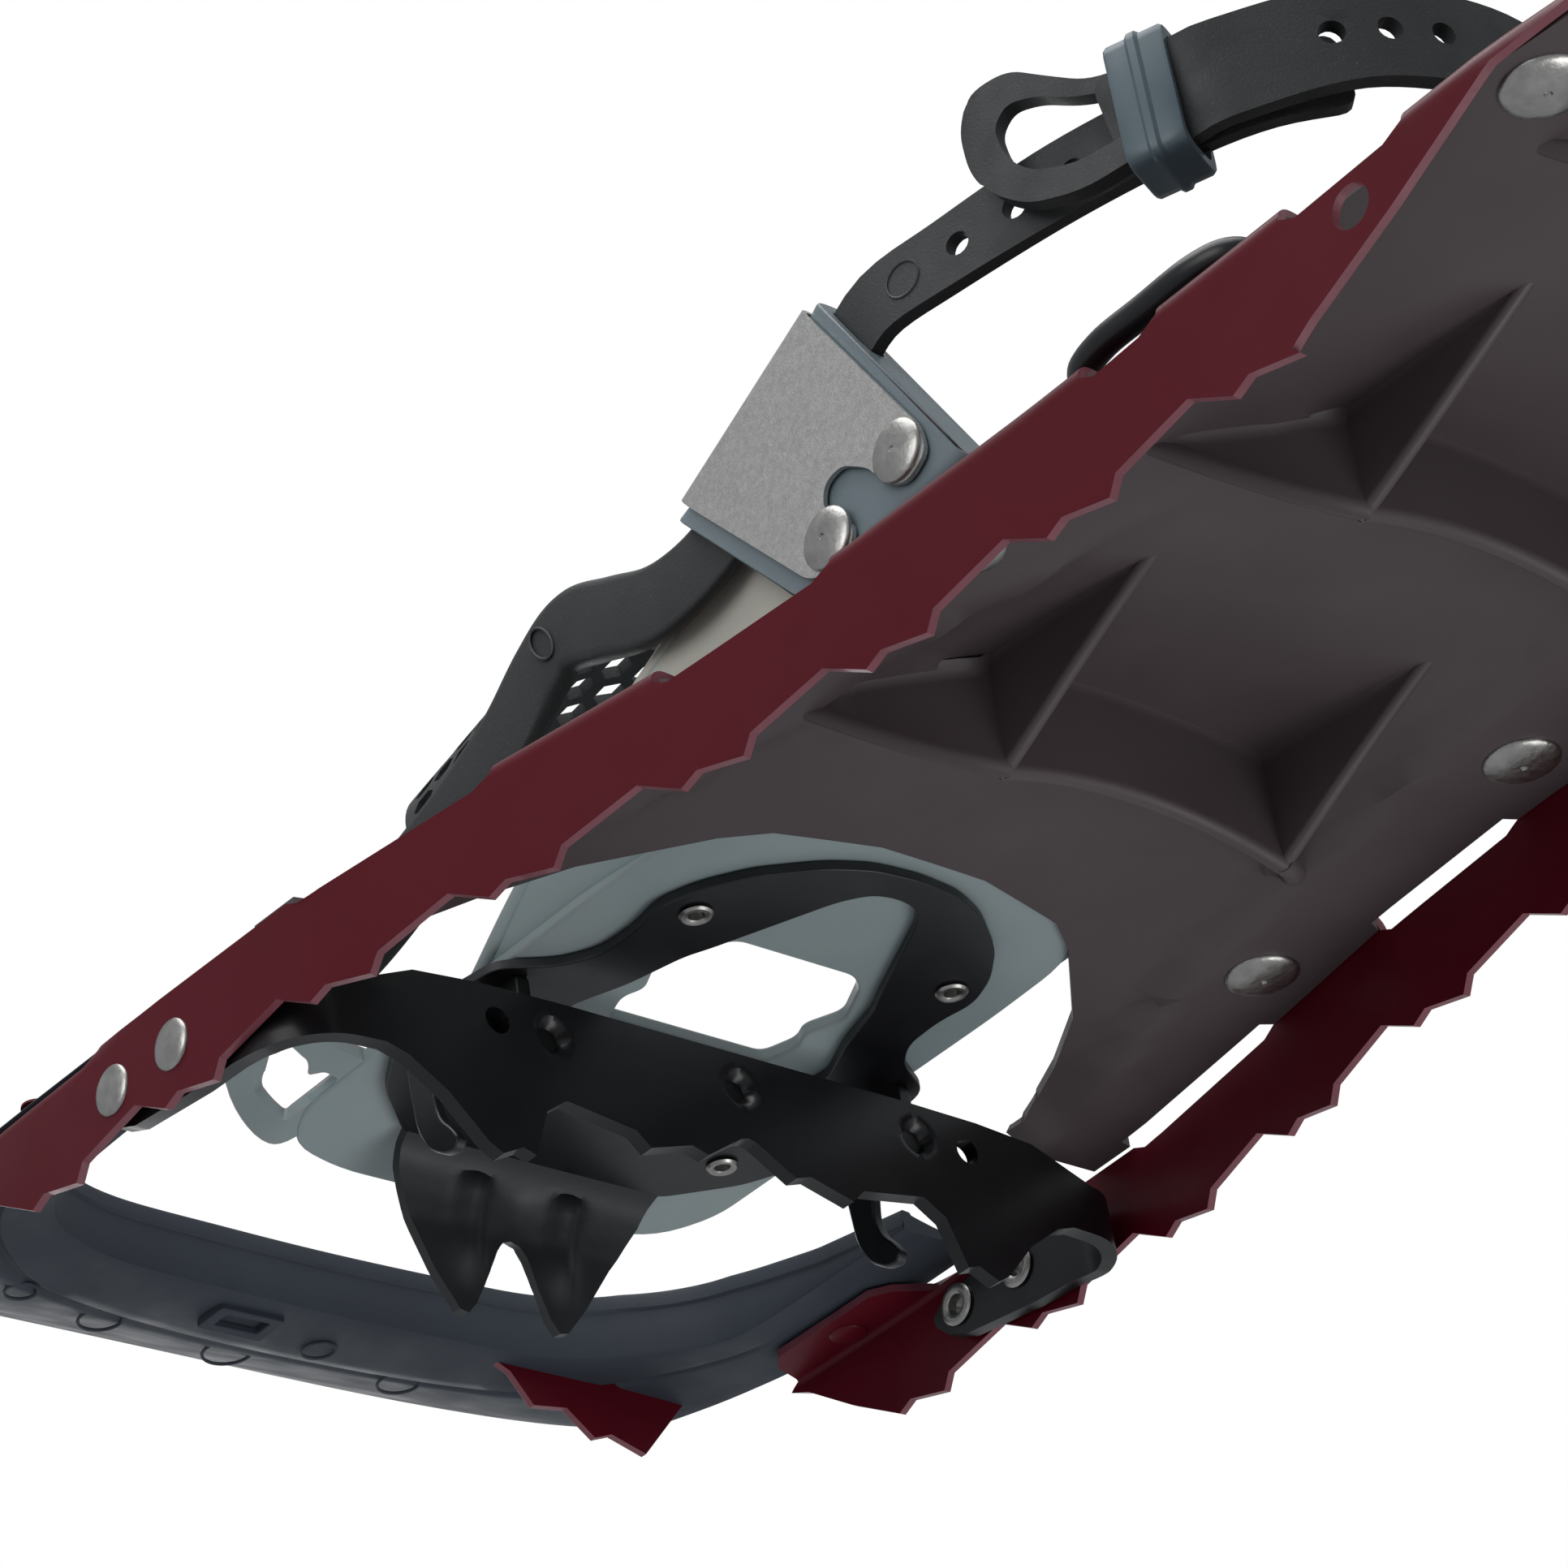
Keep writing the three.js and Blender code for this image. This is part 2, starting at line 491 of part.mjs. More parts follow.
// ---------------------------------------------------------------- crampon plate
function cramponPlate() {
  const outline = [
    [0, 52], [19, 48], [31, 38.5], [38, 30], [39.5, 20], [38.5, 9], [42, 1], [50, -4], [52.2, -18],
    [52.2, -30], [42, -48], [30, -60], [-30, -60], [-42, -48], [-52.2, -30], [-52.2, -18], [-50, -4],
    [-42, 1], [-38.5, 9], [-39.5, 20], [-38, 30], [-31, 38.5], [-19, 48],
  ];
  const window = [[0, 40], [7, 36], [11, 28], [26, 2], [27, -24], [22, -30], [-22, -30], [-27, -24], [-26, 2],
    [-11, 28], [-7, 36]];
  const sheet = cut(prism("z", outline, PLATE_Z, PLATE_Z + PLATE_THICK),
    [prism("z", window, PLATE_Z - 5, PLATE_Z + 5)]);
  const claws = prism("y", [
    [-29, PLATE_Z + PLATE_THICK], [29, PLATE_Z + PLATE_THICK], [26, 12], [17, -0.5],
    [CLAW_TIP.x + 1.2, CLAW_TIP.z], [CLAW_TIP.x - 2, CLAW_TIP.z + 1], [3, 12], [0, 14], [-3, 12],
    [-CLAW_TIP.x + 2, CLAW_TIP.z + 1],
    [-CLAW_TIP.x - 1.2, CLAW_TIP.z], [-17, -0.5], [-26, 12],
  ], -62, -59.6);
  const lean = new THREE.Matrix4().makeShear(0, 0, 0, 0, 0, CLAW_LEAN);
  lean.setPosition(0, -CLAW_LEAN * (PLATE_Z + PLATE_THICK), 0);
  const leaningClaws = claws.transform(lean.elements);
  const lug = [[-5.4, PLATE_Z + 1], [-15, PLATE_Z + 1], [-14.6, 11], [-11, 6.6], [-7.6, 6.9], [-5.6, 10]];
  const lugs = [-44.5, 44.5].map((x) => prism("x", lug, x - 1.5, x + 1.5));
  const hook = [[-19, PLATE_Z + 1], [-29, PLATE_Z + 1], [-28.7, 13.6], [-28, 4], [-25.2, -1], [-21, -4],
    [-17.5, -4], [-18.9, 0.5], [-21.4, 3], [-22, 12]];
  const tusks = [-51, 51].map((x) => prism("x", hook, x - 1.2, x + 1.2));
  const pin = bar(v3(-60, PIVOT.y, PIVOT.z), v3(60, PIVOT.y, PIVOT.z), PIVOT.radius + GAP, 16);
  const rivetHoles = PLATE_RIVETS.map(([x, y]) => bar(v3(x, y, 20), v3(x, y, 32), 1.9 + GAP));
  return cut(join([sheet, leaningClaws, ...lugs, ...tusks]), [pin, ...rivetHoles]);
}

// ---------------------------------------------------------------- binding
function footbed() {
  const base = prism("z", [
    [0, -79], [30, -79], [43, -75], [49, -64], [49, -30], [47, -10], [47, 20], [46, 40], [40, 52], [20, 57],
    [-20, 57], [-40, 52], [-46, 40], [-47, 20], [-47, -10], [-49, -30], [-49, -64], [-43, -75], [-30, -79],
  ], FOOTBED_Z, FOOTBED_Z + FOOTBED_THICK);
  const opening = prism("z", [[-15, -10], [15, -10], [19, -2], [19, 8], [10, 24], [-10, 24], [-19, 8],
    [-19, -2]], 20, 40);
  const wings = [-1, 1].map((side) => {
    const rows = [
      [47, -14, FOOTBED_Z, 47, 48, FOOTBED_Z], [50.5, 6, 35, 50.5, 62, 33.5], [53.5, 34, 46, 53.5, 84, 38],
      [55, 62, 57, 55, 114, 36], [55.4, 82, 67, 55.4, 138, 38],
    ];
    return loft(rows.map(([x0, y0, z0, x1, y1, z1]) => [
      v3(x0 * side, y0, z0), v3(x1 * side, y1, z1),
      v3((x1 - 2.6) * side, y1, z1 + 0.6), v3((x0 - 2.6) * side, y0, z0 + 0.6),
    ]));
  });
  const loop = loft([
    [v3(46, -72, FOOTBED_Z), v3(46, -50, FOOTBED_Z), v3(46, -50, FOOTBED_Z + 3), v3(46, -72, FOOTBED_Z + 3)],
    [v3(56, -70, 31), v3(56, -50, 31), v3(54, -50, 33.5), v3(54, -70, 33.5)],
    [v3(60, -67, 40), v3(60, -52, 40), v3(57, -52, 40), v3(57, -67, 40)],
  ]);
  const top = FOOTBED_Z + FOOTBED_THICK;
  const rivetHoles = PLATE_RIVETS.flatMap(([x, y]) => [bar(v3(x, y, 20), v3(x, y, 40), 1.9 + GAP),
    bar(v3(x, y, top - PLATE_RIVET_SUNK), v3(x, y, 40), 3.6 + GAP)]);
  const guideHoles = [-1, 1].flatMap((side) => GUIDE_RIVETS.map(([y, z]) =>
    bar(v3(45 * side, y, z), v3(70 * side, y, z), 1.9 + GAP)));
  return cut(join([base, ...wings, loop]), [opening, ...rivetHoles, ...guideHoles]);
}

// Height of the strap's centre line where it runs through its guide.
const strapLine = (y) => 58.6 + (y - 72) * 0.412;

// A sleeve that the strap runs through, riveted to the wing of the footbed.
function strapGuide(side) {
  const body = prism("x", GUIDE_CORNERS, (GUIDE_X - 2.2) * side, (GUIDE_X + 5.8) * side);
  const passage = [[60, -1], [150, -1], [150, 1], [60, 1]].map(([y, edge]) => [y, strapLine(y) + edge * 7.7]);
  const slot = prism("x", passage, (GUIDE_X - 0.2) * side, (GUIDE_X + 3.8) * side);
  const holes = GUIDE_RIVETS.map(([y, z]) => bar(v3(45 * side, y, z), v3(72 * side, y, z), 1.9 + GAP));
  return cut(body, [slot, ...holes]);
}

function guidePlate(side) {
  const x = GUIDE_X + 5.8 + GAP;
  const outline = [[78, 68], [110, 82.5], [131, 46], [125, 39], [101, 37.4]];
  const sheet = prism("x", outline, x * side, (x + 0.9) * side);
  const scoop = prism("x", [[123, 56], [117, 60], [109, 56], [106, 49], [112, 45], [119, 46], [121, 50]],
    (x - 2) * side, (x + 3) * side);
  const holes = GUIDE_RIVETS.map(([y, z]) => bar(v3(45 * side, y, z), v3(75 * side, y, z), 1.9 + GAP));
  return cut(sheet, [scoop, ...holes]);
}

// The perforated toe cover arches over the boot between two arms, which run from the strap guides down
// to the front corners of the footbed.
function toeCover() {
  const arch = [];
  const count = 12;
  for (let i = 0; i <= count; i++) {
    const angle = (Math.PI * i) / count;
    const t = Math.sin(angle);
    const x = 55.5 * Math.sign(Math.cos(angle)) * Math.abs(Math.cos(angle)) ** 0.7;
    arch.push({ x, z: 64 + 25 * t ** 0.75, drop: 14 - 8 * t, front: -14 - 14 * t, rear: 26 - 6 * t });
  }
  const skin = loft(arch.map(({ x, z, drop, front, rear }) => [
    v3(x, front, z - drop), v3(x, rear, z), v3(x * 0.95, rear, z - 2.6), v3(x * 0.95, front, z - drop - 2.6),
  ]));
  const armPath = [v3(57, -45, 42.5), v3(56, -30, 45), v3(56, -14, 49.5), v3(56, 0, 54), v3(56, 14, 60),
    v3(56, 25, 67.5), v3(56.5, 34, 70.5), v3(58, 46, 65.5), v3(59.3, 57, 59), v3(STRAP_X, 66, strapLine(66))];
  const sloping = v3(0, -0.35, 0.94);
  const across = [sloping, sloping, sloping, sloping, v3(0, -0.5, 0.86), v3(0, -0.5, 0.86), v3(0, 0, 1),
    v3(0, 0.45, 0.9), v3(0, 0.2, 0.98), v3(0, -0.25, 0.97)];
  const arms = [-1, 1].map((side) =>
    band(armPath.map((p) => mirrored(p, side)), across, (t) => 17 - 2 * t, STRAP_THICK, 18));
  return join([skin, ...arms]);
}

const STRAP_X = GUIDE_X + 1.8;
const HEEL_PATH = [...[67, 90, 114, 124].map((y) => v3(STRAP_X, y, strapLine(y))), v3(57, 138, 81),
  v3(51, 160, 82.6), v3(45.5, 182, 83)];

function perforatedStrap(side) {
  const centres = HEEL_PATH.map((p) => mirrored(p, side));
  const tilted = v3(0, -0.38, 0.92);
  const upright = v3(0.1 * side, 0, 1);
  const across = [tilted, tilted, tilted, tilted, v3(0, -0.15, 0.99), upright, upright];
  const strap = band(centres, across, STRAP_WIDTH - 3, STRAP_THICK - 0.4, 14);
  const holes = [[141, 81.3], [151, 82.5]].map(([y, z]) => bar(v3(40 * side, y, z), v3(70 * side, y, z), 2));
  return cut(strap, holes);
}

function heelStrap() {
  const left = [v3(58.2, 158, 82.5), v3(52.5, 176, 83.2), v3(45, 193, 85.4), v3(28, 209, 88), v3(0, 216, 89)];
  const right = [v3(-28, 209, 88), v3(-45, 193, 85.4), v3(-52.5, 176, 83.2), v3(-56.5, 162, 82.5)];
  const across = [...left, ...right].map((p) => v3(p.x * 0.004, 0, 1));
  const strap = band([...left, ...right], across, 18, STRAP_THICK, 22);
  const pull = cut(
    prism("x", [[166, 72], [166, 98], [151, 106], [140, 101], [139, 90], [148, 78]], 58.7, 61.5),
    [prism("x", [[159, 79], [160, 94], [151, 98.5], [145, 95.5], [145, 91], [152, 82]], 50, 70)],
  );
  return join([strap, pull]);
}

// A clear clip that slides along both layers of the strap.
function strapKeeper() {
  const y = 181;
  const outer = block(41, 57.1, y - 5, y + 5, 71.5, 96.3);
  const inner = block(42.6, 55.5, y - 9, y + 9, 73.3, 94.5);
  const turn = new THREE.Matrix4().makeTranslation(50, y, 86)
    .multiply(new THREE.Matrix4().makeRotationZ(0.36))
    .multiply(new THREE.Matrix4().makeTranslation(-50, -y, -86));
  return outer.subtract(inner).transform(turn.elements);
}

// ---------------------------------------------------------------- heel lift
function heelLiftBail() {
  const { x, pivotX, pivotY, frontY, z, radius } = BAIL;
  const path = [...[-7, -1, 6, 12].map((dx) => v3(pivotX + dx, pivotY, z)), v3(x, pivotY - 6, z),
    v3(x, frontY + 10, z),
    v3(x - 4, frontY + 2, z), v3(x - 14, frontY, z)];
  const full = [...path, ...path.map((p) => v3(-p.x, p.y, p.z)).reverse()];
  return wire(full, radius, 36);
}

// A clip on the deck that holds one end of the bail.
function bailClip(side) {
  const { pivotX, pivotY, z, radius } = BAIL;
  const seat = DECK_BOTTOM + DECK_THICK + 0.6;
  const [inner, outer] = [(pivotX - 4) * side, (pivotX + 5) * side];
  const foot = block(inner, outer, pivotY - 11, pivotY + 11, seat, seat + 1.6);
  const riser = block(inner, outer, pivotY - 4.5, pivotY + 4.5, seat, z);
  const saddle = bar(v3(inner, pivotY, z), v3(outer, pivotY, z), radius + 2.4, 16);
  const hollow = bar(v3(inner - 8 * side, pivotY, z), v3(outer + 4 * side, pivotY, z), radius + GAP, 16);
  return cut(join([foot, riser, saddle]), [hollow]);
}

// ---------------------------------------------------------------- assembly
SIDES.forEach(([label, side]) => {
  add(`${label}_rail`, rail(side), PAINTED_RAIL);
  FLANGE_RIVET_Y.forEach((y, i) => add(`crossbar_rivet_${label}_${i + 1}`,
    rivet(v3(halfWidth(y) * side, y, FLANGE_RIVET_Z), v3(-side, 0, 0), 4.7, 2.6,
      halfWidth(y) - CROSSBAR_FLAT - CROSSBAR_BEND + CROSSBAR_THICK / 2), RIVET_METAL));
  DECK_RIVETS.forEach(([y, inset], i) => add(`deck_rivet_${label}_${i + 1}`,
    rivet(v3((halfWidth(y) - inset) * side, y, DECK_BOTTOM), v3(0, 0, 1), 7, 2.6, TAB_TOP - DECK_BOTTOM),
    RIVET_METAL));
  add(`pivot_bracket_${label}`, pivotBracket(side), BLACK_STEEL);
  add(`pivot_pin_${label}`, pivotPin(side), STAINLESS);
  add(`split_ring_${label}`, splitRing(side), STAINLESS);
  add(`strap_guide_${label}`, strapGuide(side), GUIDE_TPU);
  add(`guide_plate_${label}`, guidePlate(side), STAINLESS);
  GUIDE_RIVETS.forEach(([y, z], i) => add(`guide_rivet_${label}_${i + 1}`,
    rivet(v3((GUIDE_X + 7.2) * side, y, z), v3(-side, 0, 0), 5.6, 1.9, 14.4), RIVET_METAL));
  add(`perforated_strap_${label}`, perforatedStrap(side), BLACK_TPU);
  add(`bail_clip_${label}`, bailClip(side), BLACK_STEEL);
});
SIDES.forEach(([label, side]) => add(`bow_rivet_${label}`, rivet(v3(bowRivetX(side), BOW_TAB.rivetY,
  BOW_TAB.top - RAIL_THICK), v3(0, 0, 1), 4, 1.6, BOW_RIVET_LENGTH), PAINTED_RAIL));
add("toe_rail", toeRail(), PAINTED_RAIL);
add("crossbar", crossbar(), BLACK_STEEL);
add("toe_bow", toeBow(), TOE_PLASTIC);
add("deck", deck(), DECK_PLASTIC);
add("crampon_plate", cramponPlate(), BLACK_STEEL);
PLATE_RIVETS.forEach(([x, y], i) => add(`plate_rivet_${i + 1}`,
  rivet(v3(x, y, FOOTBED_Z + FOOTBED_THICK - PLATE_RIVET_SUNK), v3(0, 0, -1), 3.6, 1.9,
    FOOTBED_THICK - PLATE_RIVET_SUNK + GAP + PLATE_THICK),
  RIVET_METAL));
add("footbed", footbed(), CLEAR_TPU);
add("toe_cover", toeCover(), BLACK_TPU);
add("heel_strap", heelStrap(), BLACK_TPU);
add("strap_keeper", strapKeeper(), GUIDE_TPU);
add("heel_lift_bail", heelLiftBail(), BLACK_STEEL);

shoe.position.set(0, -(TOE_Y + TAIL_Y) / 2, -DEEPEST_TOOTH);
const snowshoe = new THREE.Group();
snowshoe.add(shoe);
export default snowshoe;
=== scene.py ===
import math

import bmesh
import bpy
import numpy as np
from mathutils import Matrix, Vector


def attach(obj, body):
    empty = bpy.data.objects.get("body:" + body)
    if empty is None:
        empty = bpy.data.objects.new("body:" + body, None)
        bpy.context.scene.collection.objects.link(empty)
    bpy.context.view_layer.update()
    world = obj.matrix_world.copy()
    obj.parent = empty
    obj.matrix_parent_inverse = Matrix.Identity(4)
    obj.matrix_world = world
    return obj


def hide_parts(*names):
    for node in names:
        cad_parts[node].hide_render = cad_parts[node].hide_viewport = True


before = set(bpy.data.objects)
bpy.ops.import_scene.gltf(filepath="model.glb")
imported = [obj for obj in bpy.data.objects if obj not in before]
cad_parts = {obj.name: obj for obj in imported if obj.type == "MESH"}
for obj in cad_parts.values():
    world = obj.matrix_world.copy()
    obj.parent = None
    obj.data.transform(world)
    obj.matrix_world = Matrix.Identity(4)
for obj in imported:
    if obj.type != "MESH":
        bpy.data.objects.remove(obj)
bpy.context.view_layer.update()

# Outlines and places below are millimetres in the shoe's working frame: Y = 0 is the rear face of the
# crossbar and Z = 0 the plane of the rail teeth. to_row() turns them into the model's frame in metres.
LIFT = 15.7  # the deepest crossbar tooth lies this far below the rail teeth
BACK = 80  # the middle of the shoe's length lies this far behind the crossbar
RAIL_THICK = 1.6
TAB_TOP = 25
TAB_REACH = 21
RAIL_TOP = 20
RAIL_END_Y = 292
TABS = [[50, 82], [123, 177], [196, 220], [247, RAIL_END_Y]]
HALF_WIDTH = [  # [y, distance from the middle line to the rail's outer face]
    [-140, 101.5], [-74, 101.5], [-34, 100.9], [6, 99.2], [46, 92.4], [86, 84.6],
    [126, 80.2], [166, 78.8], [206, 78.5], [262, 78.4], [280, 76.5], [300, 71],
]
DECK_BOTTOM = 21.2
TAIL_Y = 360
RIB_ROWS = [[106, 6], [188.5, 5], [271, 6]]
FIN_X = 32
PIVOT_Y, PIVOT_Z = -9, 11
STRAP_X = 59.8
RIVET_HOLE = 2.9
SMALL_HOLE = 2.1
PIVOT_HOLE = 3.3
BOW_RIVET_Y, BOW_RIVET_INSET = -80, 6.4
SIDES = [["left", 1], ["right", -1]]


# ---- numbers and curves
def to_row(p):
    return Vector((p[0] / 1000, (p[1] - BACK) / 1000, (p[2] + LIFT) / 1000))


def along(table, key):
    """Value of a [key, value] table between its rows."""
    return float(np.interp(key, [k for k, _ in table], [v for _, v in table]))


def half_width(y):
    return along(HALF_WIDTH, y)


def soft_step(x, low, high):
    t = min(1, max(0, (x - low) / (high - low)))
    return t * t * (3 - 2 * t)


def span(start, stop, step):
    return list(np.arange(start, stop, step))


def circle(u, v, radius, sides=20):
    turn = 2 * math.pi / sides
    return [(u + radius * math.cos(i * turn), v + radius * math.sin(i * turn)) for i in range(sides)]


def angles(count):
    """Directions at even steps round a full turn."""
    return [2 * math.pi * i / count for i in range(count)]


def rectangle(low_u, low_v, high_u, high_v):
    return [(low_u, low_v), (high_u, low_v), (high_u, high_v), (low_u, high_v)]


def mirror_half(half):
    """A whole outline or line from its half on one side of the middle line."""
    return half + [(-x, y) for x, y in reversed(half) if x > 0]


def on_side(points, side):
    return [(x * side, y, z) for x, y, z in points]


def rounded(points, radius, steps=4):
    """An outline with each corner turned into a short arc."""
    out = []
    for before, here, after in zip(points[-1:] + points[:-1], points, points[1:] + points[:1]):
        here = Vector(here)
        back = Vector(before) - here
        on = Vector(after) - here
        reach = min(radius, back.length * 0.45, on.length * 0.45)
        a = here + back.normalized() * reach
        b = here + on.normalized() * reach
        for i in range(steps + 1):
            t = i / steps
            out.append(tuple(a * (1 - t) ** 2 + here * 2 * t * (1 - t) + b * t * t))
    return out


def smooth(points, steps=8):
    """Points on a Catmull-Rom curve through the given ones."""
    p = [Vector(q) for q in points]
    p = [p[0] * 2 - p[1], *p, p[-1] * 2 - p[-2]]
    out = []
    for a, b, c, d in zip(p, p[1:], p[2:], p[3:]):
        for i in range(steps):
            t = i / steps
            out.append(0.5 * (2 * b + (c - a) * t + (2 * a - 5 * b + 4 * c - d) * t * t
                              + (3 * b - a - 3 * c + d) * t ** 3))
    return out + [p[-2]]


def curve_rows(points, steps):
    return np.array([tuple(p) for p in smooth(points, steps)])


def read(rows, keys, key):
    """The point at a key, between rows of coordinates that belong to the given keys."""
    return Vector([np.interp(key, keys, rows[:, i]) for i in range(3)])


class Track:
    """A smooth curve through points, read by the distance along it."""

    def __init__(self, points, steps=12):
        self.points = curve_rows(points, steps)
        gaps = np.linalg.norm(np.diff(self.points, axis=0), axis=1)
        self.reach = np.concatenate([[0], np.cumsum(gaps)])
        self.length = float(self.reach[-1])

    def at(self, distance):
        return read(self.points, self.reach, distance)

    def heading(self, distance):
        step = self.length * 0.01
        return (self.at(distance + step) - self.at(distance - step)).normalized()

    def nearest(self, axis, value):
        """Distance at which one coordinate comes closest to a value."""
        return float(self.reach[np.argmin(np.abs(self.points[:, axis] - value))])


# ---- mesh building
def fill(outline, holes, cuts_u, cuts_v):
    """A flat mesh inside an outline and outside its holes, cut along rows and columns."""
    bm = bmesh.new()
    for loop in [outline, *holes]:
        corners = [bm.verts.new((u, v, 0)) for u, v in loop]
        for a, b in zip(corners, corners[1:] + corners[:1]):
            bm.edges.new((a, b))
    bmesh.ops.remove_doubles(bm, verts=bm.verts[:], dist=1e-4)
    bmesh.ops.triangle_fill(bm, use_beauty=True, use_dissolve=False, edges=bm.edges[:])
    inner = [e for e in bm.edges if len(e.link_faces) == 2]
    bmesh.ops.dissolve_limit(bm, angle_limit=0.01, use_dissolve_boundaries=False, verts=[], edges=inner)
    for cuts, normal in ((cuts_u, (1, 0, 0)), (cuts_v, (0, 1, 0))):
        for value in cuts:
            place = tuple(value * n for n in normal)
            bmesh.ops.bisect_plane(bm, geom=bm.verts[:] + bm.edges[:] + bm.faces[:], dist=1e-4,
                                   plane_co=place, plane_no=normal)
    bmesh.ops.recalc_face_normals(bm, faces=bm.faces[:])
    return bm


def settle(obj):
    """Replaces an object's mesh by the result of its modifiers."""
    graph = bpy.context.evaluated_depsgraph_get()
    mesh = bpy.data.meshes.new_from_object(obj.evaluated_get(graph))
    obj.modifiers.clear()
    obj.data = mesh


def bevel(obj, width, segments=2, angle=40):
    modifier = obj.modifiers.new("bevel", "BEVEL")
    modifier.width = width / 1000
    modifier.segments = segments
    modifier.limit_method = "ANGLE"
    modifier.angle_limit = math.radians(angle)
    modifier.harden_normals = True
    modifier.use_clamp_overlap = True


def add_object(name, data):
    obj = bpy.data.objects.new(name, data)
    bpy.context.scene.collection.objects.link(obj)
    return obj


def to_mesh(name, bm):
    mesh = bpy.data.meshes.new(name)
    bm.to_mesh(mesh)
    bm.free()
    return mesh


def new_object(name, bm):
    mesh = to_mesh(name, bm)
    mesh.shade_smooth()
    return add_object(name, mesh)


def closed_skin(name, bm, sharp):
    """An object whose faces look outwards, with edges above the given angle kept sharp."""
    bmesh.ops.recalc_face_normals(bm, faces=bm.faces[:])
    obj = new_object(name, bm)
    obj.data.set_sharp_from_angle(angle=math.radians(sharp))
    return obj


def sheet(outline, place, thick, holes=(), cuts_u=(), cuts_v=(), edge=0.4, rim=0):
    """A plate of even thickness: a flat pattern whose points go where place(u, v) says."""
    bm = fill(outline, holes, cuts_u, cuts_v)
    for v in bm.verts:
        v.co = to_row(place(v.co.x, v.co.y))
    obj = new_object("sheet", bm)
    obj.data.materials.append(None)
    obj.data.materials.append(None)
    solidify = obj.modifiers.new("thick", "SOLIDIFY")
    solidify.thickness = thick / 1000
    solidify.offset = 0
    solidify.use_even_offset = True
    solidify.material_offset_rim = rim
    if edge:
        bevel(obj, edge)
    settle(obj)
    return obj


def loft(loops, closed=False):
    """A closed skin through a row of rings that all have the same number of points."""
    bm = bmesh.new()
    rings = [[bm.verts.new(to_row(p)) for p in loop] for loop in loops]
    for a, b in zip(rings, rings[1:] + rings[:1] if closed else rings[1:]):
        for i in range(len(a)):
            j = (i + 1) % len(a)
            bm.faces.new((a[i], a[j], b[j], b[i]))
    if not closed:
        bm.faces.new(rings[0])
        bm.faces.new(rings[-1])
    return closed_skin("loft", bm, 35)


def axes_of(direction):
    d = Vector(direction).normalized()
    u = d.cross(Vector((0, 0, 1)) if abs(d.z) < 0.9 else Vector((1, 0, 0))).normalized()
    return d, u, d.cross(u)


def lathe(profile, base, direction, sides=32):
    """A [radius, height] profile turned about an axis; it starts and ends on the axis."""
    d, u, w = axes_of(direction)
    base = Vector(base)
    bm = bmesh.new()
    rows = []
    for radius, height in profile:
        if radius <= 0:
            rows.append([bm.verts.new(to_row(base + d * height))])
        else:
            rows.append([bm.verts.new(to_row(base + d * height
                                             + (u * math.cos(t) + w * math.sin(t)) * radius))
                         for t in angles(sides)])
    for a, b in zip(rows, rows[1:]):
        for i in range(sides):
            j = (i + 1) % sides
            corners = [a[i % len(a)], a[j % len(a)], b[j % len(b)], b[i % len(b)]]
            kept = list(dict.fromkeys(corners))
            if len(kept) > 2:
                bm.faces.new(kept)
    return closed_skin("lathe", bm, 40)


def tube(points, radius, sides=12, closed=False):
    """A round wire along points."""
    loops = []
    count = len(points)
    u = None
    for i, p in enumerate(points):
        ahead = points[(i + 1) % count] if closed else points[min(i + 1, count - 1)]
        behind = points[i - 1] if closed else points[max(i - 1, 0)]
        d = (Vector(ahead) - Vector(behind)).normalized()
        if u is None:
            _, u, _ = axes_of(d)
        u = (u - d * u.dot(d)).normalized()
        w = d.cross(u)
        loops.append([Vector(p) + (u * math.cos(t) + w * math.sin(t)) * radius for t in angles(sides)])
    return loft(loops, closed)


def wall(stations, thick=2.8, flare=1.2):
    """A moulded rib through [x, y, low, high] stations: round lower edge, flared root."""
    loops = []
    count = len(stations)
    for i, (x, y, low, high) in enumerate(stations):
        ahead = stations[min(i + 1, count - 1)]
        behind = stations[max(i - 1, 0)]
        d = Vector((ahead[0] - behind[0], ahead[1] - behind[1], 0)).normalized()
        side = Vector((-d.y, d.x, 0))
        half = thick / 2
        root = max(high, low + half + 0.6)
        tall = root - low
        ring = [(-half - flare, root), (-half - flare * 0.3, root - min(1.2, tall * 0.2)),
                (-half, root - min(2.6, tall * 0.4))]
        bottom = [(-half * math.cos(a), low + half - half * math.sin(a))
                  for a in [math.pi * k / 8 for k in range(9)]]
        ring += bottom + [(-a, z) for a, z in reversed(ring)]
        loops.append([Vector((x, y, z)) + side * a for a, z in ring])
    return loft(loops)


def join(name, pieces, body, nodes, materials):
    """Makes one piece of the given meshes, with its materials, body and the CAD nodes it stands for."""
    bm = bmesh.new()
    for piece in pieces:
        bm.from_mesh(piece.data)
        bpy.data.objects.remove(piece)
    mesh = to_mesh(name, bm)
    for finish in materials:
        mesh.materials.append(finish)
    for face in mesh.polygons:
        face.material_index = min(face.material_index, len(materials) - 1)
    obj = add_object(name, mesh)
    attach(obj, body)
    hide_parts(*nodes)
    return obj


# ---- materials
BUMP_DEPTH = 0.0002


def node(tree, kind, **sockets):
    """Adds a shader node and gives its named sockets a value or a link; _ stands for a space."""
    made = tree.nodes.new(f"ShaderNode{kind}")
    for name, value in sockets.items():
        socket = made.inputs[name.replace("_", " ")]
        if isinstance(value, bpy.types.NodeSocket):
            tree.links.new(value, socket)
        else:
            socket.default_value = value
    return made


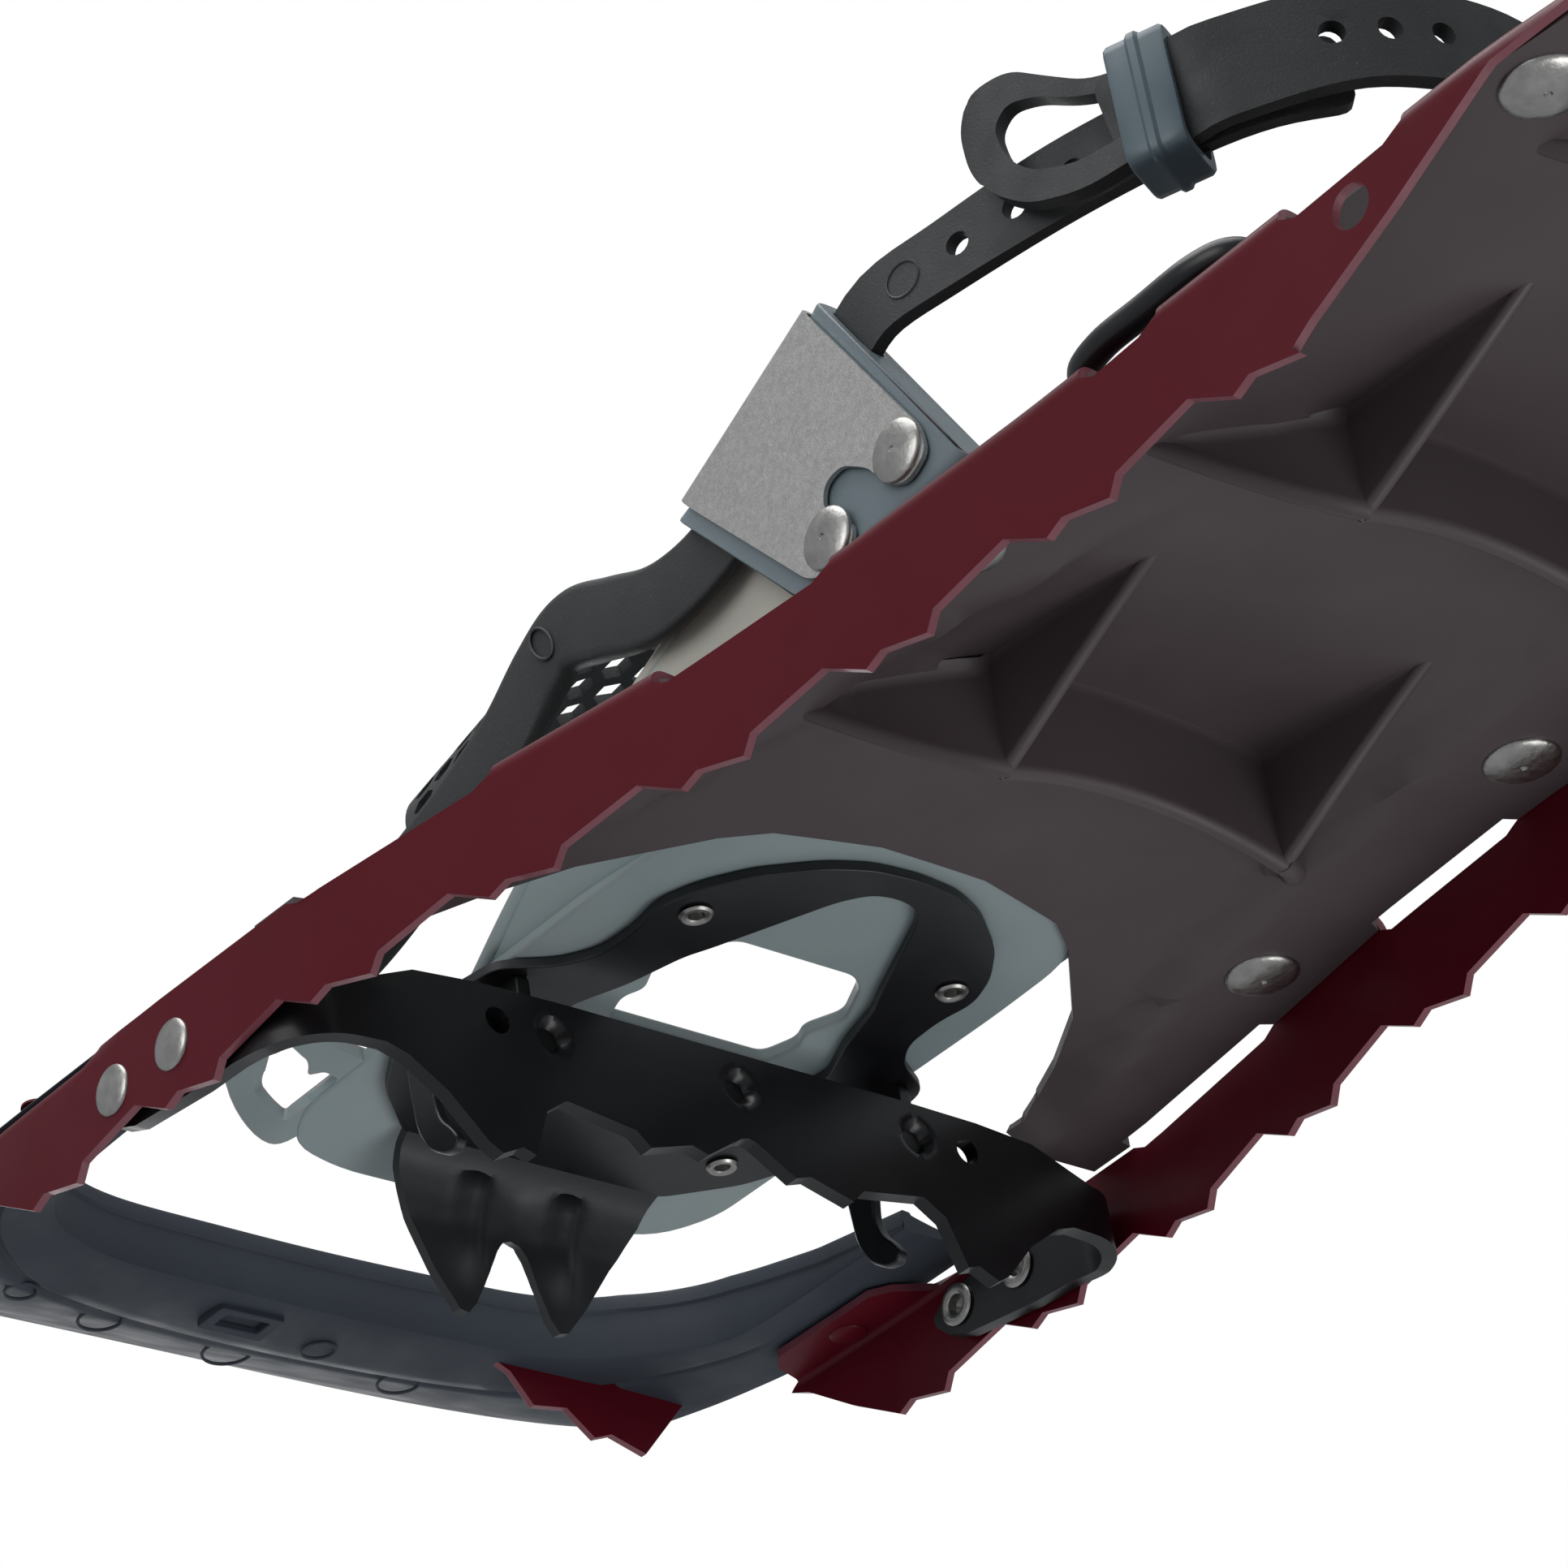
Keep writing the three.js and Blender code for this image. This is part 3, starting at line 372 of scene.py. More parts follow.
def mixed(tree, share, first, second):
    """Output of a mix that goes from the first shader to the second."""
    mix = node(tree, "MixShader", Fac=share)
    tree.links.new(first.outputs[0], mix.inputs[1])
    tree.links.new(second.outputs[0], mix.inputs[2])
    return mix.outputs[0]


def empty_tree(owner):
    """The cleared node tree of a material or a world."""
    owner.use_nodes = True
    owner.node_tree.nodes.clear()
    return owner.node_tree


def material(name, dark, light, rough, patch=60, grain=900, bump=0.12, specks=0.0, **sockets):
    """A procedural finish: patchy colour between two tones, uneven roughness and a fine bumpy grain."""
    made = bpy.data.materials.new(name)
    tree = empty_tree(made)
    place = node(tree, "TexCoord").outputs["Object"]

    def noise(scale, detail, offset):
        shift = node(tree, "Mapping", Location=(offset, offset * 0.7, offset * 0.3), Vector=place)
        return node(tree, "TexNoise", Scale=scale, Detail=detail, Vector=shift.outputs[0]).outputs["Fac"]

    def ramp(source, low, high, start, end):
        tones = node(tree, "ValToRGB", Fac=source)
        first, last = tones.color_ramp.elements
        first.position, last.position = low, high
        first.color, last.color = (*start, 1), (*end, 1)
        return tones.outputs["Color"]

    def spread(source, low, high):
        scaled = node(tree, "MapRange", Value=source, From_Min=0.3, From_Max=0.7, To_Min=low, To_Max=high)
        return scaled.outputs["Result"]

    colour = ramp(noise(patch, 3, 1.3), 0.3, 0.7, dark, light)
    if specks:
        speck = tree.nodes.new("ShaderNodeMix")
        speck.data_type = "RGBA"
        speck.inputs["B"].default_value = (*[min(1, c * 2.6 + 0.03) for c in light], 1)
        spots = ramp(noise(2600, 1, 4.1), 0.66, 0.76, (0, 0, 0), (1, 1, 1))
        tree.links.new(spread(spots, 0, specks), speck.inputs["Factor"])
        tree.links.new(colour, speck.inputs["A"])
        colour = speck.outputs["Result"]
    uneven = spread(noise(patch * 2.5, 4, 2.7), rough * 0.85, min(1, rough * 1.18))
    bumps = node(tree, "Bump", Strength=bump, Distance=BUMP_DEPTH, Height=noise(grain, 3, 5.9))
    shader = node(tree, "BsdfPrincipled", Base_Color=colour, Roughness=uneven, Normal=bumps.outputs[0],
                  **sockets)
    node(tree, "OutputMaterial", Surface=shader.outputs[0])
    return made


RAIL_PAINT = material("rail_paint", (0.078, 0.0022, 0.0075), (0.088, 0.0028, 0.0095), 0.4, patch=25,
                      grain=420, bump=0.05, Specular_IOR_Level=0.13, Coat_Weight=0.06, Coat_Roughness=0.2)
# Lighter, pinker paint for the rails' cut edges: partly worn paint, partly a painted highlight of light from
# below.
RAIL_EDGE_WEAR_AND_HIGHLIGHT = material("rail_edge_wear_and_highlight", (0.16, 0.035, 0.05), (0.2, 0.05, 0.07), 0.42, patch=120, grain=900,
                     bump=0.25, Coat_Weight=0.3)
BLACK_STEEL = material("black_steel", (0.0032, 0.0034, 0.0042), (0.005, 0.0054, 0.0066), 0.33, patch=40,
                       grain=700, bump=0.07, Specular_IOR_Level=0.38, Coat_Weight=0.12, Coat_Roughness=0.25)
PLATE_STEEL = material("plate_steel", (0.011, 0.0125, 0.0145), (0.0155, 0.017, 0.019), 0.42, patch=40,
                       grain=700, bump=0.12)
DECK_PLASTIC = material("deck_plastic", (0.056, 0.041, 0.044), (0.066, 0.049, 0.053), 0.5, patch=22,
                        grain=1300, bump=0.16)
TOE_PLASTIC = material("toe_plastic", (0.028, 0.035, 0.046), (0.034, 0.043, 0.056), 0.6, patch=30,
                       grain=1500, bump=0.22, Specular_IOR_Level=0.3)
MILKY = dict(rough=0.4, patch=18, grain=500, bump=0.05, Specular_IOR_Level=0.35, Subsurface_Weight=0.3,
             Subsurface_Scale=0.002)
CLEAR_TPU = material("clear_tpu", (0.23, 0.28, 0.29), (0.29, 0.34, 0.34), **MILKY)
# A lighter cream copy of the clear TPU for the upper wings: a painted back-light glow of thin TPU lit from
# behind.
PAINTED_BACKLIGHT_TPU = material("painted_backlight_tpu", (0.46, 0.45, 0.40), (0.56, 0.545, 0.48), **MILKY)
GUIDE_TPU = material("guide_tpu", (0.13, 0.17, 0.19), (0.16, 0.20, 0.22), 0.4, patch=25, grain=600,
                     bump=0.06, Subsurface_Weight=0.4, Subsurface_Scale=0.003)
STRAP_RUBBER = material("strap_rubber", (0.013, 0.0145, 0.0155), (0.018, 0.0195, 0.0205), 0.55, patch=60,
                        grain=2200, bump=0.35, specks=0.5)
STEEL_EDGE = material("steel_edge", (0.06, 0.066, 0.075), (0.10, 0.11, 0.12), 0.35, patch=200, grain=900,
                      bump=0.2)
KEEPER_TPU = material("keeper_tpu", (0.055, 0.088, 0.105), (0.07, 0.108, 0.128), 0.36, patch=60, grain=700,
                      bump=0.08, Subsurface_Weight=0.4, Subsurface_Scale=0.003)
STAINLESS = material("stainless", (0.50, 0.495, 0.475), (0.62, 0.61, 0.585), 0.36, patch=900, grain=2600,
                     bump=0.35, Metallic=1.0)
RIVET_METAL = material("rivet_metal", (0.33, 0.325, 0.31), (0.46, 0.45, 0.43), 0.33, patch=300, grain=900,
                       bump=0.35, Metallic=1.0)


# ---- rails
# [y from the group's first tooth, height]
TOOTH_GROUP = [[0, 0], [3.7, 1.5], [13.5, -1.2], [15.6, 2], [31.7, 4.9]]
TOOTH_PITCH = 40
TOOTH_GROUPS = 8
FIRST_TOOTH_Y = -74.3
# [y, distance inside the rail's outer face]
DECK_RIVETS = [[61.5, 15], [136, 15.3], [165, 15.3], [208, 13], [263, 12]]
FLANGE_RIVET_Y = [-31, -48.5]
FLANGE_RIVET_Z = 10.8
TAB_BEND = 3
BEND_CUTS = [18.1, 18.9, 19.7, 20.5, 21.25, 22, 22.8, 23.6, 24.4, 25.2, 26]
RAIL_EYE = (234, 15, 3.6)
BOW_TAB_REACH = 13
TOE_RAIL_Y = -128.8


def rail_fold(y):
    """Height at which the rail's web starts to bend into a tab, and the bend's radius."""
    share = soft_step(y, -58, -44)
    return 18.1 + 3.1 * share, 2 + (TAB_BEND - 2) * share


def on_tab(inset, y):
    """Distance up the flat steel of a point on a tab, this far inside the rail's outer face."""
    fold, radius = rail_fold(y)
    return fold + radius * math.pi / 2 + inset - RAIL_THICK / 2 - radius


def rail_pattern():
    """The rail laid flat, as [y, distance up the steel]."""
    lower = [(-104, 18.2), (-99, 16), (-87, 7.6)]
    for i in range(TOOTH_GROUPS):
        lower += [(FIRST_TOOTH_Y + i * TOOTH_PITCH + dy, z) for dy, z in TOOTH_GROUP]
    lower = lower[:-2] + [(218, 0.3), (222, 2.5), (241, 10.3), (263, 20.5), (278, 22), (RAIL_END_Y, 22.8)]
    upper = []
    for start, end in reversed(TABS):
        top = on_tab(TAB_REACH, start)
        shoulder = [] if end == RAIL_END_Y else [(end + 4, RAIL_TOP), (end + 1, RAIL_TOP + 1.5)]
        upper += shoulder + [(end, top - 5), (end - 2, top - 1.5), (end - 6, top), (start + 6, top),
                             (start + 2, top - 1.5), (start, top - 5), (start - 1, RAIL_TOP + 2),
                             (start - 5, RAIL_TOP + 0.5)]
    bow_top = on_tab(BOW_TAB_REACH, BOW_RIVET_Y)
    upper += [(5, RAIL_TOP - 0.4), (2, 20.9), (-58, 20.8), (-62, bow_top - 3), (-66, bow_top),
              (-94, bow_top), (-98, bow_top - 3), (-101, 20)]
    return lower + upper


def rail(label, side):
    def place(y, up):
        fold, radius = rail_fold(y)
        bend = radius * math.pi / 2
        x = half_width(y) - RAIL_THICK / 2
        z = up
        if up > fold + bend:
            x -= radius + up - fold - bend
            z = fold + radius
        elif up > fold:
            angle = (up - fold) / radius
            x -= radius * (1 - math.cos(angle))
            z = fold + radius * math.sin(angle)
        return (x * side, y, z)

    holes = [circle(y, on_tab(inset, y), RIVET_HOLE) for y, inset in DECK_RIVETS]
    holes += [circle(*RAIL_EYE, 28), circle(BOW_RIVET_Y, on_tab(BOW_RIVET_INSET, BOW_RIVET_Y), 1.9)]
    holes += [circle(y, FLANGE_RIVET_Z, RIVET_HOLE) for y in FLANGE_RIVET_Y]
    # rim=1 gives the cut edges the lighter edge paint: partly worn paint, partly a painted highlight.
    made = sheet(rail_pattern(), place, RAIL_THICK, holes, cuts_u=span(-100, RAIL_END_Y, 6.1),
                 cuts_v=BEND_CUTS, edge=0.3, rim=1)
    join(f"{label}_rail_steel", [made], "frame", [f"{label}_rail"], [RAIL_PAINT, RAIL_EDGE_WEAR_AND_HIGHLIGHT])


def toe_rail():
    cluster = [(47, 23.5), (52, 17), (60.5, 18), (67, 12.6), (71.5, 14.2), (80, 11.4), (93, 26)]
    outline = [(93, 26), (93, 27.8), (70, 32.6), (-70, 32.6), (-93, 27.8)]
    outline += [(-x, z) for x, z in reversed(cluster)] + [(-40, 27), (40, 27)]
    # rim=1 gives the cut edges the lighter edge paint: partly worn paint, partly a painted highlight.
    made = sheet(outline, lambda x, z: (x, TOE_RAIL_Y, z), RAIL_THICK,
                 [circle(-20, 30, 1.6), circle(20, 30, 1.6)], edge=0.3, rim=1)
    join("toe_rail_steel", [made], "frame", ["toe_rail"], [RAIL_PAINT, RAIL_EDGE_WEAR_AND_HIGHLIGHT])


# ---- crossbar
CROSSBAR_FLAT = 84.4
CROSSBAR_BEND = 12
CROSSBAR_THICK = 3
DIMPLES = [-42.3, 0, 42.3]
DIMPLE_Z = 11.3
DIMPLE_RADIUS = 4.6
DIMPLE_DEPTH = 2.1
DIMPLE_CUTS = [k * 0.5 for k in range(-10, 11)]
CROSSBAR_EYE = (54.5, 11.1)


def crossbar():
    outline = mirror_half([
        (0, 0.8), (1.8, 0.3), (10.1, -4.9), (13.7, -3.8), (23.3, -6.6), (26.3, -3.8), (41.2, -1.6),
        (46, -4.8), (49.6, -14.2), (52.3, -13.3), (56.8, -15.5), (59.6, -13.9), (67.1, -6),
        (74.9, -0.7), (79.3, 0.6), (88, 0.2), (94, 0), (100, 0), (108, 1.2), (118, 1.7), (137, 4),
        (142, 6), (145, 9), (145.5, 11), (143, 13), (139, 14.2), (128, 15.6), (116, 16.6), (108, 15.4),
        (102, 13), (94, 11), (86, 11), (81, 13), (72, 16.6), (58, 17.8), (38, 18.2),
    ])

    def place(s, z):
        sign = 1 if s >= 0 else -1
        far = abs(s)
        arc = CROSSBAR_BEND * math.pi / 2
        middle = -CROSSBAR_THICK / 2
        depth = sum(DIMPLE_DEPTH * soft_step(DIMPLE_RADIUS - math.hypot(s - d, z - DIMPLE_Z), 0, 1.8)
                    for d in DIMPLES)
        if far <= CROSSBAR_FLAT:
            return (s, middle - depth, z)
        if far <= CROSSBAR_FLAT + arc:
            angle = (far - CROSSBAR_FLAT) / CROSSBAR_BEND
            return (sign * (CROSSBAR_FLAT + CROSSBAR_BEND * math.sin(angle)),
                    middle - CROSSBAR_BEND * (1 - math.cos(angle)), z)
        return (sign * (CROSSBAR_FLAT + CROSSBAR_BEND),
                middle - CROSSBAR_BEND - (far - CROSSBAR_FLAT - arc), z)

    bends = span(CROSSBAR_FLAT, CROSSBAR_FLAT + 20, 1.6)
    cuts = bends + [-b for b in bends] + [d + cut for d in DIMPLES for cut in DIMPLE_CUTS]
    path_lengths = [CROSSBAR_FLAT + CROSSBAR_BEND * math.pi / 2
                    - (CROSSBAR_BEND + CROSSBAR_THICK / 2) - y for y in FLANGE_RIVET_Y]
    holes = [circle(side * s, FLANGE_RIVET_Z, RIVET_HOLE) for s in path_lengths for side in (-1, 1)]
    holes += [circle(side * CROSSBAR_EYE[0], CROSSBAR_EYE[1], 2.6, 24) for side in (-1, 1)]
    made = sheet(outline, place, CROSSBAR_THICK, holes, cuts_u=cuts,
                 cuts_v=[DIMPLE_Z + cut for cut in DIMPLE_CUTS], edge=0.45)
    join("crossbar_steel", [made], "frame", ["crossbar"], [BLACK_STEEL])


# ---- deck
DECK_THICK = 2
ROOT_DEPTH = 0.8  # how far the ribs' roots go into the shell
FIN_LENGTH = 41
ARM_END_X = 58
ARM_AHEAD = 20
MOUTH = [(12, 56.5), (33, 52), (41, 46.5), (58, 29), (67, 14), (76, -5), (76, -9)]
# [y, distance from the middle line at which the raised middle of the deck starts]
STEP_LINE = [[-9, 80], [60, 59.5], [77, 56], [114, 51.5], [131, 47.5], [170, 42], [300, 40], [330, 30]]


def deck_half_width(y):
    beside_tab = any(start - 1 <= y <= end + 1 for start, end in TABS)
    tuck = 2.2 if y < 2 or beside_tab else 5
    if y <= 262:
        return half_width(y) - tuck
    t = min(1, (y - 262) / (TAIL_Y - 262))
    curve = max(12, (half_width(262) - 2.2) * math.sqrt(1 - t ** 2.4))
    return min(curve, half_width(y) - 2.2) if y <= RAIL_END_Y else curve


def deck_under(x, y):
    """Height of the deck's underside: each bay is deepest just behind its cross rib."""
    line = along(STEP_LINE, y)
    inside = soft_step(line - abs(x), -1.2, 1.8)
    arch = max(0, 1 - (x / line) ** 2)
    depth = 2.2
    for row_y, _ in RIB_ROWS:
        if y >= row_y:
            depth = 5.4 - 3.2 * soft_step(y, row_y, row_y + 60)
    depth *= 1 - soft_step(y, 300, 345)
    edge = 2.6 * (1 - soft_step(y, 110, 190)) + 0.5
    tail = 14 * soft_step(y, RAIL_END_Y, TAIL_Y + 20)
    return DECK_BOTTOM + inside * edge * (1 - soft_step(y, 300, 345)) + depth * arch + tail


def deck():
    stations = sorted([-9, 1.7, 2.3, *span(10, 250, 8), *span(252, 352, 5), 354, 357, 359, TAIL_Y]
                      + [y + d for start, end in TABS[:3] for y, d in
                         ((start, -2.2), (start, -0.9), (end, 0.9), (end, 2.2))])
    edge = [(deck_half_width(y), y) for y in stations]
    outline = mirror_half(MOUTH + edge)
    holes = [circle((half_width(y) - inset) * side, y, RIVET_HOLE)
             for y, inset in DECK_RIVETS for side in (-1, 1)]
    shell = sheet(outline, lambda x, y: (x, y, deck_under(x, y) + DECK_THICK / 2), DECK_THICK, holes,
                  cuts_u=span(-96, 97, 4), cuts_v=span(-8, TAIL_Y, 4) + [y for y, _ in RIB_ROWS], edge=0.5)
    pieces = [shell]
    for y, tip in RIB_ROWS:
        cross = []
        for i in range(17):
            x = FIN_X * (i / 8 - 1)
            low = tip + 4.4 * (1 - (x / FIN_X) ** 2)
            cross.append([x, y, low, deck_under(x, y + 2) + ROOT_DEPTH])
        pieces.append(wall(cross, 3.6))
        for side in (-1, 1):
            fin = []
            for i in range(13):
                t = i / 12
                at = y - 0.6 + (FIN_LENGTH + 1) * t
                low = tip + (deck_under(FIN_X, at) + 0.4 - tip) * t ** 1.08
                fin.append([FIN_X * side, at, low, deck_under(FIN_X, max(at, y + 0.2)) + ROOT_DEPTH])
            pieces.append(wall(fin))
            arm = []
            for i in range(11):
                t = i / 10
                x = FIN_X - 0.4 + (ARM_END_X - FIN_X) * t
                at = y + 0.4 - ARM_AHEAD * t ** 1.25
                low = tip + (DECK_BOTTOM + ROOT_DEPTH - tip) * t ** 1.5
                arm.append([x * side, at, low, deck_under(x, at) + ROOT_DEPTH])
            pieces.append(wall(arm, 4.2, 2.4))
    join("deck_moulding", pieces, "frame", ["deck"], [DECK_PLASTIC])


# ---- rivets and eyelets
BOW_RIVET_Z = 19.3


def domed_head(radius, height, dimple=0.0):
    """Half of a rivet: a domed head with an optional small dimple in the middle."""
    rows = [[0, -height + dimple]]
    if dimple:
        rows += [[radius * 0.06, -height + dimple], [radius * 0.1, -height + 0.05]]
    for i in range(1, 9):
        a = i / 8 * math.pi / 2
        rows.append([radius * (0.1 + 0.9 * math.sin(a)), -height * (0.08 + 0.92 * math.cos(a))])
    return rows + [[radius, 0.25], [radius * 0.9, 0.3]]


def rivet(name, head, direction, radius, shank, length, body, dimple=0.0, eye=False, painted=False):
    rows = domed_head(radius, radius * 0.24, dimple) + [[shank, 0.3], [shank, length]]
    if eye:
        rows += [[shank * 1.6, length + 0.1], [shank * 1.72, length + 0.5], [shank * 1.5, length + 0.95],
                 [shank * 1.1, length + 0.95], [shank * 0.85, length + 0.6], [shank * 0.7, length - 1.2],
                 [0, length - 1.4]]
    else:
        rows += [[shank + 1.3, length + 0.1], [shank + 1.2, length + 0.6], [shank * 0.6, length + 1],
                 [0, length + 1]]
    made = lathe(rows, head, direction)
    slot, finish = ("rail_paint", RAIL_PAINT) if painted else ("rivet_metal", RIVET_METAL)
    join(f"{name}_metal", [made], body, [name], [finish])


def frame_rivets():
    for label, side in SIDES:
        for i, y in enumerate(FLANGE_RIVET_Y):
            length = half_width(y) - CROSSBAR_FLAT - CROSSBAR_BEND + CROSSBAR_THICK / 2
            rivet(f"crossbar_rivet_{label}_{i + 1}", (half_width(y) * side, y, FLANGE_RIVET_Z),
                  (-side, 0, 0), 4.7, 2.5, length, "frame", eye=True)
        for i, (y, inset) in enumerate(DECK_RIVETS):
            rivet(f"deck_rivet_{label}_{i + 1}", ((half_width(y) - inset) * side, y, DECK_BOTTOM),
                  (0, 0, 1), 7, 2.5, TAB_TOP - DECK_BOTTOM, "frame", dimple=0.5)
        rivet(f"bow_rivet_{label}",
              ((half_width(BOW_RIVET_Y) - BOW_RIVET_INSET) * side, BOW_RIVET_Y, BOW_RIVET_Z),
              (0, 0, 1), 4, 1.6, 5.4, "frame", painted=True)


# ---- bands and skins
def rounded_box(a, b, corner, steps=3):
    return rounded(rectangle(-a, -b, a, b), corner, steps)


def band_place(points, acrosses):
    """place(distance along, offset across) on a band that follows a curve, and the band's length."""
    track = Track(points)
    sides = curve_rows(acrosses, 12)

    def place(u, v):
        side = read(sides, track.reach, u)
        heading = track.heading(u)
        side = (side - heading * side.dot(heading)).normalized()
        return track.at(u) + side * v

    return place, track


def strap_body(points, acrosses, width, thick, steps=10):
    """A solid band along a curve; its width and thickness are functions of the share of its length."""
    centres = smooth(points, steps)
    sides = smooth(acrosses, steps)
    last = len(centres) - 1
    loops = []
    for i, (centre, side) in enumerate(zip(centres, sides)):
        heading = (centres[min(i + 1, last)] - centres[max(i - 1, 0)]).normalized()
        side = (side - heading * side.dot(heading)).normalized()
        face = heading.cross(side)
        a, b = width(i / last) / 2, thick(i / last) / 2
        loops.append([centre + side * p + face * q for p, q in rounded_box(a, b, b * 0.9)])
    return loft(loops)


def skin_place(edge_a, edge_b, length, width):
    """place() for a sheet stretched between two smooth edges: u runs along them, v across."""
    a, b = curve_rows(edge_a, 10), curve_rows(edge_b, 10)
    marks = np.linspace(0, length, len(a))

    def place(u, v):
        return read(a, marks, u).lerp(read(b, marks, u), v / width)

    return place


def paint(obj, index):
    for face in obj.data.polygons:
        face.material_index = index
    return obj


def tint(obj, height):
    """Gives the faces above a height the piece's second material."""
    limit = (height + LIFT) / 1000
    while len(obj.data.materials) < 2:
        obj.data.materials.append(None)
    for face in obj.data.polygons:
        face.material_index = int(face.center.z > limit)


# ---- crampon plate
PLATE_MIDDLE = 25.7
LUG_X, HOOK_X = 44.5, 51
SPACER_X, SPACER_Z, SPACER_LENGTH = 40.2, 17.4, 12.8
CLAW_RIDGE_X = 10.8
PLATE_RIVETS = [[29.8, 26.8], [-29.8, 26.8], [33, -43], [-33, -43]]
CLAW_LINE = [  # [z, y] of the claws' middle
    [-4, -70.6], [5, -69.7], [13, -68.3], [18, -66], [22, -63.6], [24.5, -61.2], [25.7, -58.5],
]


def crampon_plate():
    outer = mirror_half([(0, 53), (10, 52), (18, 48.6), (28, 41), (34, 33), (37, 25), (35.5, 17), (36, 8),
                         (40, 2), (50, -4), (52.2, -18), (52.2, -30), (42, -48), (30, -59)])
    window = mirror_half([(0, 46.5), (5, 45.5), (9, 41), (13, 32.5), (19.5, 18.5), (22, 14), (25.2, 2.2),
                          (30, -8.5), (27, -24), (22, -30)])
    holes = [rounded(window, 2.5)] + [circle(x, y, SMALL_HOLE) for x, y in PLATE_RIVETS]
    plate = sheet(rounded(outer, 3), lambda x, y: (x, y, PLATE_MIDDLE), 2, holes, edge=0.35, rim=2)
    claw = mirror_half([(0, 13.4), (2, 12.8), (3.6, 10.4), (8.6, -0.6), (10.6, -3), (12.6, -2.6), (17.4, 3.4),
                        (24.6, 14.5), (28, 20.5), (29.5, 25.7)])

    def claw_place(x, z):
        ridge = 2.6 * math.exp(-((abs(x) - CLAW_RIDGE_X) / 2.9) ** 2) * soft_step(z, 0.5, 10)
        ridge *= 1 - soft_step(z, 20.5, 23)
        waist = -0.9 * math.exp(-(x / 5) ** 2) * soft_step(z, 8, 16) * (1 - soft_step(z, 20, 24))
        return (x, along(CLAW_LINE, z) + ridge + waist, z)

    claws = paint(sheet(claw, claw_place, 2.2, cuts_u=span(-27, 28, 1.3), cuts_v=span(-2, 25.5, 1.3),
                        edge=0.4, rim=1), 1)
    pieces = [plate, claws]
    for side in (-1, 1):
        lug = [(-3.6, 25), (-15, 25), (-14.6, 11), (-12.5, 6.8), (-9, 5.4), (-5.4, 6.8), (-3.6, 11)]
        pieces.append(sheet(rounded(lug, 1.5), lambda y, z: (LUG_X * side, y, z), 3,
                            [circle(PIVOT_Y, PIVOT_Z, PIVOT_HOLE)]))
        hook = [(-19, 25), (-29, 25), (-28.9, 13.6), (-28, 4), (-25.4, -1), (-21.6, -3.8), (-18.4, -4.4),
                (-16.9, -2.6), (-18.6, 0.2), (-21.2, 3), (-22.4, 7), (-21.4, 14)]
        pieces.append(sheet(rounded(hook, 2.4), lambda y, z: (HOOK_X * side, y, z), 2.4, edge=0.6, rim=2))
        spacer = [[0, 0], [3.6, 0], [4.3, 0.7], [4.3, SPACER_LENGTH - 0.7], [3.6, SPACER_LENGTH],
                  [0, SPACER_LENGTH]]
        pieces.append(lathe(spacer, (SPACER_X * side, PIVOT_Y, SPACER_Z), (side, 0, 0)))
    join("crampon_plate_steel", pieces, "binding", ["crampon_plate"],
         [BLACK_STEEL, PLATE_STEEL, STEEL_EDGE])
    for i, (x, y) in enumerate(PLATE_RIVETS):
        rivet(f"plate_rivet_{i + 1}", (x, y, 28), (0, 0, -1), 3.6, 1.8, 3.3, "binding", eye=True)


# ---- pivot hardware
CHEEK_X = [38.4, 54.6]
PIN_HEAD_X = 57.8
RING_X, RING_Z, RING_RADIUS = 35.2, 9.8, 4.7
RING_STEPS = 80


def pivots(label, side):
    outline = rounded([(-3.3, 16), (-3.3, 3), (-9, 3.4), (-14.5, 7), (-15.5, 11), (-14, 15), (-10, 17.5)], 2)
    cheeks = [sheet(outline, lambda y, z, x=x: (x * side, y, z), 2, [circle(PIVOT_Y, PIVOT_Z, PIVOT_HOLE)])
              for x in CHEEK_X]
    back = sheet(rectangle(37, 3.4, 55.6, 16), lambda x, z: (x * side, -3.8, z), 1, edge=0.3)
    join(f"pivot_bracket_{label}_steel", [*cheeks, back], "frame", [f"pivot_bracket_{label}"],
         [BLACK_STEEL])
    pin = lathe([[0, 0], [4.1, 0], [4.6, 0.4], [4.6, 1.4], [4.2, 1.7], [3, 1.7], [3, 21], [2.5, 21.5],
                 [0, 21.5]], (PIN_HEAD_X * side, PIVOT_Y, PIVOT_Z), (-side, 0, 0))
    join(f"pivot_pin_{label}_steel", [pin], "frame", [f"pivot_pin_{label}"], [STAINLESS])
    coil = []
    for i in range(RING_STEPS + 1):
        turn = i / RING_STEPS * 4 * math.pi
        coil.append((RING_X * side + 1.3 * (i / RING_STEPS - 0.5), PIVOT_Y + RING_RADIUS * math.sin(turn),
                     RING_Z + RING_RADIUS * math.cos(turn)))
    join(f"split_ring_{label}_wire", [tube(coil, 0.55)], "frame", [f"split_ring_{label}"],
         [RIVET_METAL])


# ---- footbed
FOOTBED_HOLE = [(14, 19.5), (-13, 19.5), (-17, 16.5), (-22, 6.5), (-18.5, -1), (-20.5, -5), (-18, -12),
                (18, -12), (20.5, -5), (18.5, -1), (22, 6.5), (17, 16.5)]
FOOTBED_MIDDLE, FOOTBED_THICK = 28.5, 3
WING_LENGTH, WING_WIDTH = 100, 50
WING_FRONT = [(45, -16, 28.6), (50, 6, 35.5), (53.2, 34, 46.5), (54.1, 62, 57.5), (54.2, 81, 66)]
WING_REAR = [(45, 50, 28.6), (50, 62, 33.6), (53.2, 86, 36.5), (54.1, 112, 37), (54.2, 137, 38.5)]
FLAP_LENGTH, FLAP_WIDTH = 34, 26
PAINTED_BACKLIGHT_FROM = 36.7  # above this height the side wings get the painted back-light glow, a lighter cream copy of the clear TPU
